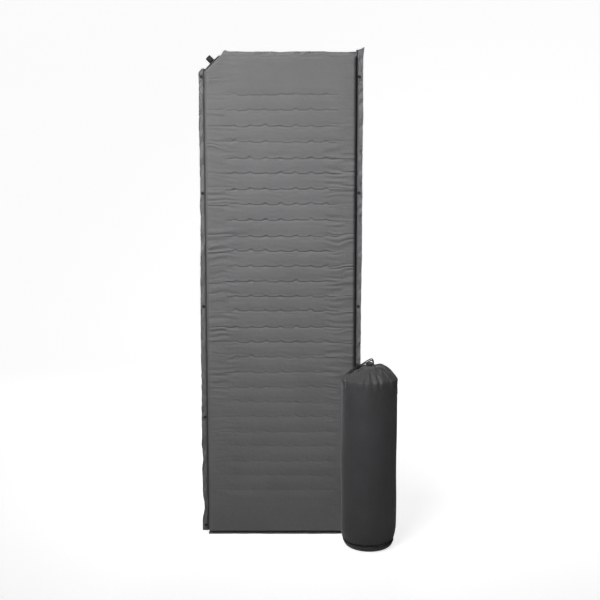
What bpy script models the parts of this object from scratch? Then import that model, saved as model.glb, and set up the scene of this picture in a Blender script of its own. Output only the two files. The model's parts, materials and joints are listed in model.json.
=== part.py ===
"""A self-inflating sleeping pad that stands on its foot end, with its full stuff sack in front of it.

Metres, +Z up along the pad's length, the face that is lain on towards -Y. The origin is the middle of the
pad's foot end, in the middle of its thickness.
"""
import math

import bmesh
import bpy
from mathutils import Matrix, Vector

# The pad
PAD_LENGTH = 1.90
PAD_WIDTH = 0.63
PAD_THICKNESS = 0.050
SIDE_FLANGE = 0.024
HEAD_FLANGE = 0.022
FOOT_FLANGE_FRONT = 0.032
FOOT_FLANGE_BACK = 0.012
CORNER_CUT = 0.062
EDGE_ROUND = 0.012
SHEET = 0.0012
GAP = 0.0003
HINGE_GAP = 0.0015

# The slots that are die-cut through the foam core
SLOT_LENGTH = 0.040
SLOT_WIDTH = 0.008
SLOT_PITCH = 0.0585
SLOT_COLUMNS = 6
SLOT_ROWS = 27
ROW_PITCH = 0.0595
FIRST_ROW = 0.179

# The snaps of the side flanges
SNAP_COUNT = 5
SNAP_FOOT = 0.0265
SNAP_PITCH = 0.443
SNAP_RADIUS = 0.00625
SNAP_POST = 0.0016
SNAP_HOLE = 0.0020

# The twist valve in the cut corner; heights run along its axis, out from the corner's wall.
# VALVE_SHIFT moves it along the cut, towards the head.
VALVE_SHIFT = 0.005
NECK = 0.0025
VALVE_TUBE = 0.0080
VALVE_BORE = 0.0060
VALVE_END = NECK + 0.0160
VALVE_INNER_END = -0.0120
COLLAR = 0.0120
COLLAR_HIGH = 0.0030
WELD_RING = 0.0130
WELD_RING_HIGH = -0.0018
WELD_RING_LOW = -0.0045
RING_SEAT = NECK + 0.0124
RING_HALF = 0.0012
RING_DEPTH = 0.0007
RING_MINOR = 0.0008
KNOB_RADIUS = 0.0112
KNOB_BORE = 0.0095
KNOB_LOW = NECK + 0.0045
KNOB_TOP = NECK + 0.0280
KNOB_MOUTH = 0.0035
KNOB_FLUTES = 10
FLUTE_RADIUS = 0.0016
FLUTE_LENGTH = 0.0180
KNOB_LID = 0.0025
WASHER = 0.0018
PLUG_RADIUS = 0.0032
PLUG_FLARE = 0.0040
PLUG_STEM = 0.0022
PLUG_FOOT = -0.0060
POCKET_RADIUS = 0.0160
POCKET_DEPTH = 0.0150

# The stuff sack
SACK_X = 0.3385
SACK_Y = -0.145
SACK_RADIUS = 0.106
SACK_SHOULDER = 0.651
SACK_DOME = 0.055
DOME_POWER = 1.6
SACK_CLOTH = 0.0010
SACK_SIDES = 28
BASE_ROUND_START = 0.075
SEAM_HEIGHT = 0.030
BASE_FLAT = 0.072
BINDING = 0.0020
HEM_RADIUS = 0.0075
HEM_MINOR = 0.0055
ROLL_RADIUS = 0.0990
ROLL_LOW = 0.052
ROLL_HIGH = 0.640
ROLL_PITCH = 0.0158
ROLL_LAYER = 0.0148
ROLL_CORE = 0.010
STRAP_WIDTH = 0.025

# The drawcord and its lock. The lock's centre and the cord's route count from the sack's axis.
CORD_DIAMETER = 0.0035
LOCK_CENTRE = Vector((-0.0445, -0.0120, 0.7025))
LOCK_SLOPE = math.radians(27)
LOCK_RADIUS = 0.0085
LOCK_BORE = 0.0052
LOCK_FRONT = -0.0100
LOCK_BACK = 0.0170
LOCK_WALL = 0.0015
PLUNGER_RADIUS = 0.0048
PLUNGER_OUT = -0.0160
PLUNGER_END = 0.0075
PLUNGER_TRAVEL = 0.0035
LOCK_SLOT_WIDE = 0.0098
LOCK_SLOT_HIGH = 0.0045
SPRING_RADIUS = 0.0036
SPRING_WIRE = 0.0004
SPRING_TURNS = 4
SPRING_STEPS = 9

# One strand of the cord, from the hem over the arch and through the lock to the loop's tip; the other
# strand lies beside it. Each point is x, half the spread between the strands, and height.
STRAND = [
    (0.0118, 0.0026, 0.7085),
    (0.0150, 0.0027, 0.7092),
    (0.0188, 0.0028, 0.7130),
    (0.0206, 0.0028, 0.7185),
    (0.0192, 0.0028, 0.7245),
    (0.0145, 0.0027, 0.7288),
    (0.0075, 0.0026, 0.7290),
    (0.0000, 0.0026, 0.7255),
    (-0.0130, 0.0026, 0.7186),
    (-0.0267, 0.0026, 0.7116),
    (-0.0356, 0.0026, 0.7070),
    (-0.0445, 0.0026, 0.7025),
    (-0.0534, 0.0026, 0.6980),
    (-0.0600, 0.0028, 0.6944),
    (-0.0655, 0.0048, 0.6903),
    (-0.0705, 0.0076, 0.6861),
    (-0.0755, 0.0092, 0.6818),
    (-0.0808, 0.0084, 0.6772),
    (-0.0850, 0.0050, 0.6736),
]
LOOP_TIP = (-0.0866, 0.0, 0.6722)

BODY_HALF = PAD_WIDTH / 2 - SIDE_FLANGE
BODY_LOW = SHEET + GAP
BODY_HIGH = PAD_LENGTH - HEAD_FLANGE
VALVE_AXIS = Vector((-1, 0, 1)).normalized()
CUT_MIDDLE = Vector((-BODY_HALF + CORNER_CUT / 2, 0, BODY_HIGH - CORNER_CUT / 2))
VALVE_FOOT = CUT_MIDDLE + VALVE_SHIFT * Vector((1, 0, 1)).normalized()
FLANGE_MIDDLE = BODY_HALF + (HINGE_GAP + SIDE_FLANGE) / 2 + 0.0002
SNAP_HEIGHTS = [SNAP_FOOT + SNAP_PITCH * i for i in range(SNAP_COUNT)]


def clear_scene():
    for item in list(bpy.data.objects):
        bpy.data.objects.remove(item, do_unlink=True)


def collection(name):
    found = bpy.data.collections.new(name)
    bpy.context.scene.collection.children.link(found)
    return found


def material(name, colour, roughness, metallic=0.0):
    made = bpy.data.materials.new(name)
    made.use_nodes = True
    shader = made.node_tree.nodes["Principled BSDF"]
    shader.inputs["Base Color"].default_value = (*colour, 1)
    shader.inputs["Roughness"].default_value = roughness
    shader.inputs["Metallic"].default_value = metallic
    return made


def mesh_object(name, bm, place, finish=None):
    """A bmesh becomes a named object in a collection."""
    bmesh.ops.recalc_face_normals(bm, faces=bm.faces)
    mesh = bpy.data.meshes.new(name)
    bm.to_mesh(mesh)
    bm.free()
    made = bpy.data.objects.new(name, mesh)
    place.objects.link(made)
    if finish:
        mesh.materials.append(finish)
    return made


def cutter(name, bm):
    made = mesh_object(name, bm, CUTTERS)
    made.hide_render = True
    made.display_type = "WIRE"
    return made


def cut(target, tool):
    step = target.modifiers.new("cut " + tool.name, "BOOLEAN")
    step.operation = "DIFFERENCE"
    step.solver = "EXACT"
    step.object = tool


def join(target, tool):
    step = target.modifiers.new("join " + tool.name, "BOOLEAN")
    step.operation = "UNION"
    step.solver = "EXACT"
    step.object = tool


def slab(outline, depth_from, depth_to, frame=Matrix.Identity(4), back=True):
    """A flat outline of (across, up) points, drawn out in depth; across is X, depth is Y and up is Z."""
    bm = bmesh.new()
    corners = [bm.verts.new((across, depth_from, up)) for across, up in outline]
    face = bm.faces.new(corners)
    grown = bmesh.ops.extrude_face_region(bm, geom=[face], use_keep_orig=True)
    moved = [item for item in grown["geom"] if isinstance(item, bmesh.types.BMVert)]
    bmesh.ops.translate(bm, verts=moved, vec=(0, depth_to - depth_from, 0))
    if not back:
        far = [item for item in grown["geom"] if isinstance(item, bmesh.types.BMFace)]
        bmesh.ops.delete(bm, geom=far, context="FACES_ONLY")
    bmesh.ops.transform(bm, matrix=frame, verts=bm.verts)
    return bm


def rod(radius, low, high, frame=Matrix.Identity(4), sides=20):
    """A round bar along the frame's Z, from low to high."""
    bm = bmesh.new()
    place = frame @ Matrix.Translation((0, 0, (low + high) / 2))
    bmesh.ops.create_cone(bm, cap_ends=True, segments=sides, radius1=radius, radius2=radius,
                          depth=high - low, matrix=place)
    return bm


def box(low, high, frame=Matrix.Identity(4)):
    bm = bmesh.new()
    size = [b - a for a, b in zip(low, high)]
    middle = [(a + b) / 2 for a, b in zip(low, high)]
    place = frame @ Matrix.Translation(middle) @ Matrix.Diagonal((*size, 1))
    bmesh.ops.create_cube(bm, size=1, matrix=place)
    return bm


def turned(name, profile, finish, frame=Matrix.Identity(4), closed=True, steps=24):
    """A profile of (radius, height) points, down the outer side first, turned about the frame's Z."""
    mesh = bpy.data.meshes.new(name)
    count = len(profile)
    edges = [(i, i + 1) for i in range(count - 1)]
    if closed:
        edges.append((count - 1, 0))
    mesh.from_pydata([(radius, 0, height) for radius, height in profile], edges, [])
    made = bpy.data.objects.new(name, mesh)
    PARTS.objects.link(made)
    mesh.materials.append(finish)
    made.matrix_world = frame
    screw = made.modifiers.new("turn", "SCREW")
    screw.axis = "Z"
    screw.steps = steps
    screw.render_steps = steps
    screw.use_merge_vertices = True
    screw.merge_threshold = 0.00001
    screw.use_smooth_shade = True
    return made


def aimed(origin, direction):
    """A frame at origin whose Z points along direction."""
    turn = Vector(direction).to_track_quat("Z", "Y").to_matrix().to_4x4()
    return Matrix.Translation(origin) @ turn


def arc(centre, radii, start, end, count):
    """Points on an ellipse's arc, from start to end in degrees."""
    points = []
    for i in range(count):
        angle = math.radians(start + (end - start) * i / (count - 1))
        points.append((centre[0] + radii[0] * math.cos(angle), centre[1] + radii[1] * math.sin(angle)))
    return points


def body_outline(inset):
    """The pad's cushion seen from the front, with its corner cut for the valve, set in by inset."""
    slant = inset * (math.sqrt(2) - 1)
    side = BODY_HALF - inset
    return [
        (-side, BODY_LOW + inset),
        (side, BODY_LOW + inset),
        (side, BODY_HIGH - inset),
        (-BODY_HALF + CORNER_CUT + slant, BODY_HIGH - inset),
        (-side, BODY_HIGH - CORNER_CUT - slant),
    ]


def round_edges(target, width, segments=3):
    step = target.modifiers.new("rounded edges", "BEVEL")
    step.width = width
    step.segments = segments
    step.limit_method = "ANGLE"
    step.angle_limit = math.radians(30)


def make_sheets():
    """Two shallow trays of coated cloth that meet at the pad's middle plane."""
    neck = cutter("valve_neck_hole", rod(VALVE_TUBE + GAP, -0.02, 0.03, VALVE_FRAME))
    for name, side in (("front_sheet", -1), ("back_sheet", 1)):
        bm = slab(body_outline(0), side * PAD_THICKNESS / 2, side * GAP / 2, back=False)
        sheet = mesh_object(name, bm, PARTS, PAD_CLOTH)
        if sheet.data.polygons[0].normal.y * side < 0:
            sheet.data.flip_normals()
        round_edges(sheet, EDGE_ROUND)
        wall = sheet.modifiers.new("cloth", "SOLIDIFY")
        wall.thickness = SHEET
        wall.offset = -1
        wall.use_even_offset = True
        cut(sheet, neck)


def slot_cutters():
    """Every slot of the foam core, as one cutter."""
    bm = bmesh.new()
    reach = PAD_THICKNESS
    for row in range(SLOT_ROWS):
        height = FIRST_ROW + ROW_PITCH * row
        for column in range(SLOT_COLUMNS):
            across = (column - (SLOT_COLUMNS - 1) / 2) * SLOT_PITCH
            size = Matrix.Diagonal((SLOT_LENGTH, reach, SLOT_WIDTH, 1))
            bmesh.ops.create_cube(bm, size=1, matrix=Matrix.Translation((across, 0, height)) @ size)
    return bm


def make_foam():
    inset = SHEET + GAP
    depth = PAD_THICKNESS / 2 - inset
    foam = mesh_object("foam_core", slab(body_outline(inset), -depth, depth), PARTS, FOAM)
    round_edges(foam, EDGE_ROUND)
    cut(foam, cutter("foam_slots", slot_cutters()))
    cut(foam, cutter("valve_pocket", rod(POCKET_RADIUS, -POCKET_DEPTH, 0.02, VALVE_FRAME)))


def flange_outline(low, high, inner, outer, round_low, round_high):
    """A strip beside the pad, its outer corners rounded; inner and outer may be negative."""
    side = math.copysign(1, outer)
    low_arc = arc((outer - side * round_low, low + round_low), (side * round_low, round_low), -90, 0, 5)
    high_arc = arc((outer - side * round_high, high - round_high), (side * round_high, round_high), 0, 90, 5)
    return [(inner, low)] + low_arc + high_arc + [(inner, high)]


def make_side_flanges():
    """The welded strips beside the pad, each with a hole for every snap."""
    left_top = BODY_HIGH - CORNER_CUT + 0.026
    for name, side, high in (("flange_left", -1, left_top), ("flange_right", 1, PAD_LENGTH)):
        inner = side * (BODY_HALF + HINGE_GAP)
        outline = flange_outline(BODY_LOW + 0.002, high, inner, side * PAD_WIDTH / 2, 0.008, 0.010)
        flange = mesh_object(name, slab(outline, -SHEET / 2, SHEET / 2), PARTS, PAD_CLOTH)
        holes = bmesh.new()
        for height in SNAP_HEIGHTS:
            place = aimed((side * FLANGE_MIDDLE, 0, height), (0, -1, 0))
            bmesh.ops.create_cone(holes, cap_ends=True, segments=12, radius1=SNAP_HOLE, radius2=SNAP_HOLE,
                                  depth=0.01, matrix=place)
        cut(flange, cutter(name + "_snap_holes", holes))


def make_end_flanges():
    head = [
        (-BODY_HALF + CORNER_CUT + 0.004, BODY_HIGH + GAP),
        (BODY_HALF, BODY_HIGH + GAP),
        (BODY_HALF, PAD_LENGTH - 0.001),
        (-BODY_HALF + CORNER_CUT + 0.010, PAD_LENGTH - 0.001),
    ]
    mesh_object("head_flange", slab(head, -SHEET / 2, SHEET / 2), PARTS, PAD_CLOTH)
    foot = box((-BODY_HALF, -FOOT_FLANGE_FRONT, 0), (BODY_HALF, FOOT_FLANGE_BACK, SHEET))
    mesh_object("foot_flange", foot, PARTS, PAD_CLOTH)


def make_snaps():
    """Caps and studs on the left flange, sockets and eyelets on the right one."""
    half = SHEET / 2 + GAP
    base = SNAP_HOLE
    cap = [
        (0.0, half + 0.0024),
        (0.0035, half + 0.0022),
        (SNAP_RADIUS - 0.0004, half + 0.0012),
        (SNAP_RADIUS, half),
        (SNAP_POST, half),
        (SNAP_POST, -0.0028),
        (0.0, -0.0028),
    ]
    stud = [(0.0053, -half), (0.0053, -half - 0.0008), (0.0036, -half - 0.0009),
            (0.0036, -half - 0.0022), (base, -half - 0.0022), (base, -half)]
    socket = [(0.0050, half + 0.0024), (0.0058, half + 0.0018), (0.0060, half), (base, half),
              (base, half + 0.0008), (0.0034, half + 0.0010), (0.0034, half + 0.0024)]
    eyelet = [
        (SNAP_POST, 0.0014),
        (SNAP_POST, -half),
        (SNAP_RADIUS, -half),
        (SNAP_RADIUS - 0.0005, -half - 0.0012),
        (SNAP_POST / 2, -half - 0.0012),
        (SNAP_POST / 2, 0.0014),
    ]
    for number, height in enumerate(SNAP_HEIGHTS, 1):
        left = aimed((-FLANGE_MIDDLE, 0, height), (0, -1, 0))
        right = aimed((FLANGE_MIDDLE, 0, height), (0, -1, 0))
        turned(f"snap_cap_{number}", cap, SNAP_BLACK, left, closed=False, steps=12)
        turned(f"snap_stud_{number}", stud, SNAP_BLACK, left, steps=12)
        turned(f"snap_socket_{number}", socket, SNAP_BLACK, right, steps=12)
        turned(f"snap_eyelet_{number}", eyelet, SNAP_BLACK, right, steps=12)


def make_valve():
    """A tube welded into the corner, and a knob on it whose mouth the fixed plug closes."""
    groove = VALVE_TUBE - RING_DEPTH
    body = [
        (VALVE_TUBE, VALVE_END),
        (VALVE_TUBE, RING_SEAT + RING_HALF),
        (groove, RING_SEAT + RING_HALF),
        (groove, RING_SEAT - RING_HALF),
        (VALVE_TUBE, RING_SEAT - RING_HALF),
        (VALVE_TUBE, COLLAR_HIGH),
        (COLLAR - 0.0005, COLLAR_HIGH - 0.0004),
        (COLLAR, 0.0004),
        (VALVE_TUBE, 0.0004),
        (VALVE_TUBE, WELD_RING_HIGH),
        (WELD_RING, WELD_RING_HIGH),
        (WELD_RING, WELD_RING_LOW),
        (VALVE_TUBE, WELD_RING_LOW),
        (VALVE_TUBE, VALVE_INNER_END),
        (VALVE_BORE, VALVE_INNER_END),
        (VALVE_BORE, VALVE_END),
    ]
    turned("valve_body", body, VALVE_BLACK, VALVE_FRAME, steps=20)
    ring = arc((0.0084, RING_SEAT), (RING_MINOR, RING_MINOR), 90, -210, 6)
    turned("valve_o_ring", ring, SEAL, VALVE_FRAME, steps=20)
    washer_high = KNOB_TOP - KNOB_LID - GAP
    washer_low = washer_high - WASHER
    washer = [(0.0092, washer_high), (0.0092, washer_low), (0.0046, washer_low), (0.0046, washer_high)]
    turned("knob_washer", washer, SEAL, VALVE_FRAME, steps=20)
    tip = KNOB_TOP - 0.0005
    plug_profile = [
        (0.0, tip),
        (PLUG_STEM, tip - 0.0002),
        (PLUG_RADIUS, tip - 0.0013),
        (PLUG_RADIUS, tip - 0.0035),
        (PLUG_FLARE, tip - 0.0049),
        (PLUG_FLARE, tip - 0.0063),
        (PLUG_STEM, tip - 0.0079),
        (PLUG_STEM, PLUG_FOOT),
        (0.0, PLUG_FOOT),
    ]
    plug = turned("valve_plug", plug_profile, VALVE_BLACK, VALVE_FRAME, closed=False, steps=18)
    spider = bmesh.new()
    for turn in range(3):
        around = VALVE_FRAME @ Matrix.Rotation(math.radians(120 * turn), 4, "Z")
        spoke = around @ Matrix.Translation((0.00325, 0, -0.001))
        bmesh.ops.create_cube(spider, size=1, matrix=spoke @ Matrix.Diagonal((0.0045, 0.0012, 0.0080, 1)))
    join(plug, cutter("plug_spider", spider))
    knob_profile = [
        (KNOB_RADIUS - 0.0012, KNOB_TOP),
        (KNOB_RADIUS, KNOB_TOP - 0.0012),
        (KNOB_RADIUS, KNOB_LOW + 0.0008),
        (KNOB_RADIUS - 0.0008, KNOB_LOW),
        (KNOB_BORE, KNOB_LOW),
        (KNOB_BORE, KNOB_TOP - KNOB_LID),
        (KNOB_MOUTH, KNOB_TOP - KNOB_LID),
        (KNOB_MOUTH, KNOB_TOP),
    ]
    knob = turned("valve_knob", knob_profile, VALVE_BLACK, VALVE_FRAME, steps=30)
    flutes = bmesh.new()
    for turn in range(KNOB_FLUTES):
        around = VALVE_FRAME @ Matrix.Rotation(2 * math.pi * turn / KNOB_FLUTES, 4, "Z")
        place = around @ Matrix.Translation((KNOB_RADIUS + 0.0008, 0, (KNOB_LOW + KNOB_TOP) / 2))
        bmesh.ops.create_cone(flutes, cap_ends=True, segments=10, radius1=FLUTE_RADIUS, radius2=FLUTE_RADIUS,
                              depth=FLUTE_LENGTH, matrix=place)
    cut(knob, cutter("knob_flutes", flutes))


def dome_height(radius):
    """The gathered top's outer height above the floor, at a distance from the sack's axis."""
    return SACK_SHOULDER + SACK_DOME * (1 - (radius / SACK_RADIUS) ** DOME_POWER)


def make_sack():
    """Side, base, seam binding, gathered mouth and hem of the sack."""
    inner = SACK_RADIUS - SACK_CLOTH
    lean = 49
    drop = (BASE_ROUND_START - SEAM_HEIGHT) / math.sin(math.radians(lean))
    outer_curve = arc((SACK_RADIUS - 0.0165, BASE_ROUND_START), (0.0165, drop), 0, -lean, 5)
    low_radius, low_height = outer_curve[-1]
    inner_curve = [(radius - SACK_CLOTH, height) for radius, height in reversed(outer_curve)]
    side = [(SACK_RADIUS, SACK_SHOULDER - GAP)] + outer_curve + inner_curve + [(inner, SACK_SHOULDER - GAP)]
    turned("sack_side", side, SACK_CLOTH_FINISH, SACK_FRAME, steps=SACK_SIDES)
    seam = low_height - GAP - BINDING
    binding = arc((low_radius - 0.0004, seam), (BINDING, BINDING), 90, -210, 6)
    turned("base_binding", binding, BINDING_BLACK, SACK_FRAME, steps=SACK_SIDES)
    rim = low_radius - 0.0012
    rim_height = seam - BINDING - GAP
    bowl = arc((BASE_FLAT, rim_height), (rim - BASE_FLAT, rim_height), 0, -90, 6)
    inside_reach = (rim - BASE_FLAT - SACK_CLOTH, rim_height - SACK_CLOTH)
    bowl_inside = arc((BASE_FLAT, rim_height), inside_reach, -90, 0, 6)
    base = bowl + [(0.0, 0.0), (0.0, SACK_CLOTH)] + bowl_inside
    turned("sack_base", base, SACK_CLOTH_FINISH, SACK_FRAME, steps=SACK_SIDES)
    radii = [0.0105, 0.0220, 0.0400, 0.0580, 0.0760, 0.0920, SACK_RADIUS]
    outside = [(radius, dome_height(radius)) for radius in radii]
    inside = []
    for radius in reversed(radii[:-1]):
        inside.append((max(radius - 0.0006, 0.0100), dome_height(radius) - SACK_CLOTH))
    dome = outside + [(inner, SACK_SHOULDER)] + inside
    turned("sack_mouth", dome, SACK_CLOTH_FINISH, SACK_FRAME, steps=SACK_SIDES)
    hem_height = dome_height(0.0105) + HEM_MINOR + GAP
    hem = arc((HEM_RADIUS, hem_height), (HEM_MINOR, HEM_MINOR), 90, -225, 8)
    turned("hem_channel", hem, SACK_CLOTH_FINISH, SACK_FRAME, steps=20)


def spiral(radius, start, end, steps_per_turn=20):
    """Points of a spiral that closes in by one pitch each turn; angles count turns from its outer end."""
    count = int(round((end - start) * steps_per_turn))
    points = []
    for i in range(count + 1):
        turns = start + (end - start) * i / count
        distance = radius - ROLL_PITCH * turns
        angle = 2 * math.pi * turns
        points.append((distance * math.cos(angle), distance * math.sin(angle)))
    return points


def make_roll():
    """A second pad, rolled tight, that fills the sack, and the strap round it."""
    turns = (ROLL_RADIUS - ROLL_CORE - ROLL_LAYER) / ROLL_PITCH
    outside = spiral(ROLL_RADIUS, 0, turns)
    inside = spiral(ROLL_RADIUS - ROLL_LAYER, 0, turns)
    turn_up = SACK_FRAME @ Matrix.Rotation(math.radians(90), 4, "X")
    bm = slab(outside + inside[::-1], -ROLL_HIGH, -ROLL_LOW, turn_up @ Matrix.Rotation(math.pi, 4, "Z"))
    mesh_object("rolled_pad", bm, PARTS, PAD_CLOTH)
    low = (ROLL_LOW + ROLL_HIGH - STRAP_WIDTH) / 2
    strap = [(0.1012, low + STRAP_WIDTH), (0.1012, low), (0.1000, low), (0.1000, low + STRAP_WIDTH)]
    turned("roll_strap", strap, BINDING_BLACK, SACK_FRAME, steps=32)


def make_lock():
    """The cord lock: a barrel across the two strands, its sprung plunger, and the slot through both."""
    along = Vector((0, 1, 0))
    frame = SACK_FRAME @ aimed(LOCK_CENTRE, along)
    barrel_profile = [
        (LOCK_RADIUS - 0.0015, LOCK_BACK),
        (LOCK_RADIUS, LOCK_BACK - 0.0015),
        (LOCK_RADIUS, LOCK_FRONT + 0.001),
        (LOCK_RADIUS - 0.001, LOCK_FRONT),
        (LOCK_BORE, LOCK_FRONT),
        (LOCK_BORE, LOCK_BACK - LOCK_WALL),
        (0.0, LOCK_BACK - LOCK_WALL),
        (0.0, LOCK_BACK),
    ]
    barrel = turned("lock_barrel", barrel_profile, VALVE_BLACK, frame, steps=20)
    plunger_profile = [
        (0.0, PLUNGER_END),
        (PLUNGER_RADIUS, PLUNGER_END),
        (PLUNGER_RADIUS, PLUNGER_OUT + 0.0012),
        (PLUNGER_RADIUS - 0.0012, PLUNGER_OUT),
        (0.0, PLUNGER_OUT),
    ]
    plunger = turned("lock_plunger", plunger_profile, VALVE_BLACK, frame, closed=False, steps=20)
    slanted = SACK_FRAME @ Matrix.Translation(LOCK_CENTRE) @ Matrix.Rotation(-LOCK_SLOPE, 4, "Y")
    half = LOCK_SLOT_WIDE / 2
    high = LOCK_SLOT_HIGH / 2
    cut(barrel, cutter("barrel_slot", box((-0.02, -half, -high), (0.02, half, high), slanted)))
    slot = box((-0.02, -half - PLUNGER_TRAVEL, -high), (0.02, half, high), slanted)
    cut(plunger, cutter("plunger_slot", slot))
    low = PLUNGER_END + GAP + SPRING_WIRE
    length = LOCK_BACK - LOCK_WALL - GAP - SPRING_WIRE - low
    coil = []
    for i in range(SPRING_TURNS * SPRING_STEPS + 1):
        angle = 2 * math.pi * i / SPRING_STEPS
        rise = low + length * i / (SPRING_TURNS * SPRING_STEPS)
        coil.append((SPRING_RADIUS * math.cos(angle), SPRING_RADIUS * math.sin(angle), rise))
    tube("lock_spring", coil, SPRING_WIRE * 2, STEEL, frame, resolution=1)


def tube(name, points, diameter, finish, frame=Matrix.Identity(4), resolution=2):
    curve = bpy.data.curves.new(name, "CURVE")
    curve.dimensions = "3D"
    curve.bevel_depth = diameter / 2
    curve.bevel_resolution = resolution
    curve.use_fill_caps = True
    line = curve.splines.new("POLY")
    line.points.add(len(points) - 1)
    for point, place in zip(line.points, points):
        point.co = (*place, 1)
    curve.materials.append(finish)
    made = bpy.data.objects.new(name, curve)
    PARTS.objects.link(made)
    made.matrix_world = frame
    return made


def smooth_route(route, spacing):
    """Points along a smooth curve through the route's points, evenly spaced."""
    dense = []
    last = len(route) - 1
    for i in range(last):
        a, b, c, d = (Vector(route[max(0, min(last, k))]) for k in (i - 1, i, i + 1, i + 2))
        for step in range(12):
            t = step / 12
            dense.append(0.5 * ((2 * b) + (c - a) * t + (2 * a - 5 * b + 4 * c - d) * t * t
                                + (3 * b - a - 3 * c + d) * t ** 3))
    dense.append(Vector(route[-1]))
    lengths = [0.0]
    for a, b in zip(dense, dense[1:]):
        lengths.append(lengths[-1] + (b - a).length)
    count = max(2, round(lengths[-1] / spacing))
    points = []
    k = 0
    for i in range(count + 1):
        want = lengths[-1] * i / count
        while k < len(lengths) - 2 and lengths[k + 1] < want:
            k += 1
        share = (want - lengths[k]) / (lengths[k + 1] - lengths[k])
        points.append(dense[k].lerp(dense[k + 1], share))
    return points


def cord_route():
    """Out along the front strand, round the loop's tip and back along the rear one."""
    middle = LOCK_CENTRE.y
    front = [(x, middle - spread, z) for x, spread, z in STRAND]
    rear = [(x, middle + spread, z) for x, spread, z in reversed(STRAND)]
    return front + [(LOOP_TIP[0], middle, LOOP_TIP[2])] + rear


clear_scene()
PARTS = collection("sleeping_pad")
CUTTERS = collection("cutters")
PAD_CLOTH = material("pad_cloth", (0.14, 0.14, 0.145), 0.75)
FOAM = material("foam", (0.78, 0.74, 0.62), 0.9)
SNAP_BLACK = material("snap_black", (0.02, 0.02, 0.02), 0.4)
VALVE_BLACK = material("valve_black", (0.015, 0.015, 0.015), 0.45)
SEAL = material("seal", (0.05, 0.05, 0.05), 0.6)
SACK_CLOTH_FINISH = material("sack_cloth", (0.045, 0.045, 0.048), 0.6)
BINDING_BLACK = material("binding_black", (0.015, 0.015, 0.015), 0.8)
STEEL = material("steel", (0.6, 0.6, 0.6), 0.3, 1.0)
CORD_BLACK = material("cord_black", (0.02, 0.02, 0.02), 0.7)
VALVE_FRAME = aimed(VALVE_FOOT, VALVE_AXIS)
SACK_FRAME = Matrix.Translation((SACK_X, SACK_Y, 0))

make_sheets()
make_foam()
make_side_flanges()
make_end_flanges()
make_snaps()
make_valve()
make_sack()
make_roll()
make_lock()
tube("drawcord", smooth_route(cord_route(), CORD_DIAMETER * 2), CORD_DIAMETER, CORD_BLACK, SACK_FRAME)
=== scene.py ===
import itertools
import json
import math

import bmesh
import bpy
import numpy as np
from bpy.props import FloatProperty, FloatVectorProperty, IntProperty, PointerProperty
from mathutils import Matrix, Vector


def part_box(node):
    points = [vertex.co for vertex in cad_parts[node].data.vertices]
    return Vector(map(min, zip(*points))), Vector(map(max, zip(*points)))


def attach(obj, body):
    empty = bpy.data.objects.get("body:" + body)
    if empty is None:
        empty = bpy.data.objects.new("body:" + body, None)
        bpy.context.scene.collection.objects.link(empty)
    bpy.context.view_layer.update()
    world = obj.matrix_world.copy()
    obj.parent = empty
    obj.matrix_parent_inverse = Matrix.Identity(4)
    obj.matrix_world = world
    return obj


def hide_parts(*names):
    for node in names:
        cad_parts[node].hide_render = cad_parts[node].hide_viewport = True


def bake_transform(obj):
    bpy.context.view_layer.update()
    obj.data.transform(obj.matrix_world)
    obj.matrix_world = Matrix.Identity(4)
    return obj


bl_info = {
    "name": "Sleeping Pad and Stuff Sack",
    "version": (1, 0, 0),
    "blender": (4, 5, 0),
    "location": "3D View > Sidebar > Sleeping Pad",
    "description": "Builds the looks of a self-inflating sleeping pad and its stuff sack round the CAD frame",
    "category": "Add Mesh",
}

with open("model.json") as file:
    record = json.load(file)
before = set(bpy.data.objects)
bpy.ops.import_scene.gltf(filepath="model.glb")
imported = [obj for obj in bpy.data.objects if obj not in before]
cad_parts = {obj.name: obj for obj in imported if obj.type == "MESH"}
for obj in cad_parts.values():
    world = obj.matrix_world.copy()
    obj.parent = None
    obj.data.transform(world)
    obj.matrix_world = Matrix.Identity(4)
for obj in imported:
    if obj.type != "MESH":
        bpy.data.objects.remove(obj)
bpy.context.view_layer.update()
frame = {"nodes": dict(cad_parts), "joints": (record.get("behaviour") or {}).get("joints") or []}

FACE_LOW, FACE_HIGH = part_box("front_sheet")
LEFT_LOW, LEFT_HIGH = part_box("flange_left")
RIGHT_LOW, RIGHT_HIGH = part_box("flange_right")
HEAD_LOW, HEAD_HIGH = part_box("head_flange")
FOOT_LOW, FOOT_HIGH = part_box("foot_flange")
SACK_LOW, SACK_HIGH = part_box("sack_side")
SLACK = (0.002, 0.016)
SETTLED_GRID = (97, 469)
SETTLED_LIMIT = 0.004
SETTLED_SHARE = 0.28
SACK_AXIS = Vector(((SACK_LOW.x + SACK_HIGH.x) / 2, (SACK_LOW.y + SACK_HIGH.y) / 2, 0.0))
SNAP_ROWS = range(1, 6)

# One strand of the drawcord, from the hem over the arch and through the lock to the loop's tip; the other
# strand lies beside it. Each point is x, half the spread between the strands, and height, from the
# sack's axis.
STRAND = [
    (0.0118, 0.0026, 0.7085),
    (0.0136, 0.0027, 0.7100),
    (0.0146, 0.0028, 0.7140),
    (0.0138, 0.0028, 0.7190),
    (0.0122, 0.0028, 0.7240),
    (0.0096, 0.0027, 0.7276),
    (0.0052, 0.0026, 0.7278),
    (0.0000, 0.0026, 0.7255),
    (-0.0130, 0.0026, 0.7186),
    (-0.0267, 0.0026, 0.7116),
    (-0.0356, 0.0026, 0.7070),
    (-0.0445, 0.0026, 0.7025),
    (-0.0534, 0.0026, 0.6980),
    (-0.0600, 0.0028, 0.6944),
    (-0.0655, 0.0048, 0.6903),
    (-0.0705, 0.0076, 0.6861),
    (-0.0755, 0.0092, 0.6818),
    (-0.0808, 0.0084, 0.6772),
    (-0.0850, 0.0050, 0.6736),
]
LOOP_TIP = (-0.0866, 0.0, 0.6722)


# ---------------------------------------------------------------- settings


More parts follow.
